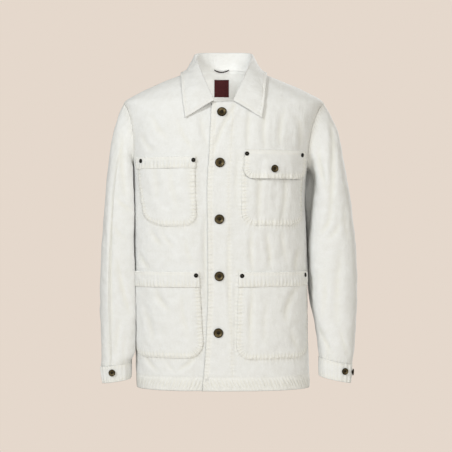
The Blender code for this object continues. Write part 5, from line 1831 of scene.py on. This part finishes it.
rows = []
for name in POCKET_NAMES:
    row = POCKET_ROWS[name]
    for off in PATCH_ROWS:
        line = inner_line(row, off)
        line = line[line[:, 1] < row["mouth"] - row["band"] - 0.001]
        rows.append(pocket_surface(name, line[:, 0], line[:, 1]))
for pocket in BANDS:
    row = POCKET_ROWS[pocket]
    for level in (row["mouth"] - row["band"] + 0.003, row["mouth"] + BAND_RISE - 0.004):
        ends = np.array([row["mouth_in"] + 0.001, row["mouth_out"] - 0.001])
        rows.append(band_surface(pocket, *line_of(ends, level)))
ends = np.array([FLAP_ROW["mouth_in"], FLAP_ROW["mouth_out"]])
for off in PATCH_ROWS:
    line = inner_line({**FLAP_ROW, "mouth": FLAP_ROW["mouth"] - SHORT}, off)
    rows.append(flap_surface(line[:, 0], line[:, 1]))
    rows.append(flap_surface(*line_of(ends, FLAP_ROW["mouth"] - off)))
sew("thread_pockets", rows)


# %% Rows on the collar, the cuffs and the sleeves
def grid_row(points, normals, distance, wanted):
    """For each column of a grid, the point whose distance along the column is the wanted one."""
    line = []
    for column in range(points.shape[1]):
        at_row = np.argmin(np.abs(distance[:, column] - wanted))
        line.append(np.concatenate([points[at_row, column], normals[at_row, column]]))
    line = np.array(line)
    return line[:, :3], line[:, 3:]


down_edge = edge_distance(collar_points, ("top",))
rows = [grid_row(collar_points[:, 3:-3], collar_normals[:, 3:-3], down_edge[:, 3:-3], COLLAR_ROW)]
for end in (3, -4):
    rows.append((collar_points[24:-4, end], collar_normals[24:-4, end]))
for side in (LEFT, RIGHT):
    points, normals, _ = cuffs[side]
    rows += [(points[level, 2:-2], normals[level, 2:-2]) for level in (2, -3)]
for side in (LEFT, RIGHT):
    down = slice(SLEEVE_ROWS // 6, -1)
    for column in (SLEEVE_SEAM[side] - 1, SLEEVE_SEAM[side] + 1):
        rows.append([grid[down, column] for grid in sleeves[side]])
sew("thread_collar_cuffs", rows)

# %% [markdown]
# ## Floor, light and camera
#
# The photograph was taken level with the waist from well back, so a long lens looks straight along
# +Y. One large soft light stands high on the left, in front; a weaker one on the right keeps the
# shadows open, and one behind lights the back when the jacket is turned round. The floor is a
# plain pale disc below the hem, just outside the camera's view.

# %% Floor
FLOOR_HEIGHT = -1.0
FLOOR_RADIUS = 0.84
floor_mesh = bmesh.new()
bmesh.ops.create_circle(floor_mesh, cap_ends=True, segments=96, radius=FLOOR_RADIUS)
bmesh.ops.translate(floor_mesh, verts=floor_mesh.verts, vec=(0, 0, FLOOR_HEIGHT))
floor_data = bpy.data.meshes.new("floor")
floor_mesh.to_mesh(floor_data)
floor_mesh.free()
floor = put("floor", floor_data)
plain = bpy.data.materials.new("plain_floor")
plain.use_nodes = True
plain.node_tree.nodes["Principled BSDF"].inputs["Base Color"].default_value = (0.72, 0.69, 0.65, 1)
plain.node_tree.nodes["Principled BSDF"].inputs["Roughness"].default_value = 0.8
floor_data.materials.append(plain)


# %% Light
def add_light(name, place, aim, size, power, colour):
    lamp = bpy.data.lights.new(name, "AREA")
    lamp.shape = "DISK"
    lamp.size = size
    lamp.energy = power
    lamp.color = colour
    holder = put(name, lamp)
    holder.location = place
    holder.rotation_euler = (Vector(aim) - Vector(place)).to_track_quat("-Z", "Y").to_euler()


MIDDLE = (0, 0, -0.33)
add_light("key", (-2.0, -2.4, 0.95), MIDDLE, 0.9, 48, (0.93, 0.97, 1.0))
add_light("fill", (0.8, -3.1, 0.3), MIDDLE, 1.2, 41, (1.0, 0.985, 0.94))
add_light("behind", (1.7, 2.2, 1.0), MIDDLE, 1.0, 62, (0.97, 0.98, 1.0))
add_light("inside_neck", (0.0, -0.035, -0.12), (0, 0.07, 0.03), 0.10, 0.14, (1.0, 0.98, 0.93))

world = bpy.data.worlds.new("soft_room")
world.use_nodes = True
room = world.node_tree
seen = room.nodes["Background"]
seen.inputs["Color"].default_value = (0.783, 0.687, 0.604, 1)
bounced = add_node(room, "Background", Color=(0.82, 0.77, 0.68, 1), Strength=0.47)
direct = add_node(room, "LightPath").outputs["Is Camera Ray"]
either = add_node(room, "MixShader", (), direct, bounced.outputs[0], seen.outputs[0])
room.links.new(either.outputs["Shader"], room.nodes["World Output"].inputs["Surface"])
bpy.context.scene.world = world
bpy.context.scene.view_settings.view_transform = "Standard"

# %% Camera
CAMERA_DISTANCE = 3.0
METRES_PER_PIXEL = 0.00225  # at the jacket's middle
IMAGE_WIDTH = 452
camera_data = bpy.data.cameras.new("camera")
camera_data.sensor_width = 36.0
camera_data.lens = 36.0 * CAMERA_DISTANCE / (IMAGE_WIDTH * METRES_PER_PIXEL)
camera = put("camera", camera_data)
camera.location = (0.009, -CAMERA_DISTANCE, -0.331)
camera.rotation_euler = (math.pi / 2, 0, 0)
bpy.context.scene.camera = camera
print("lens", round(camera_data.lens, 2), "mm")
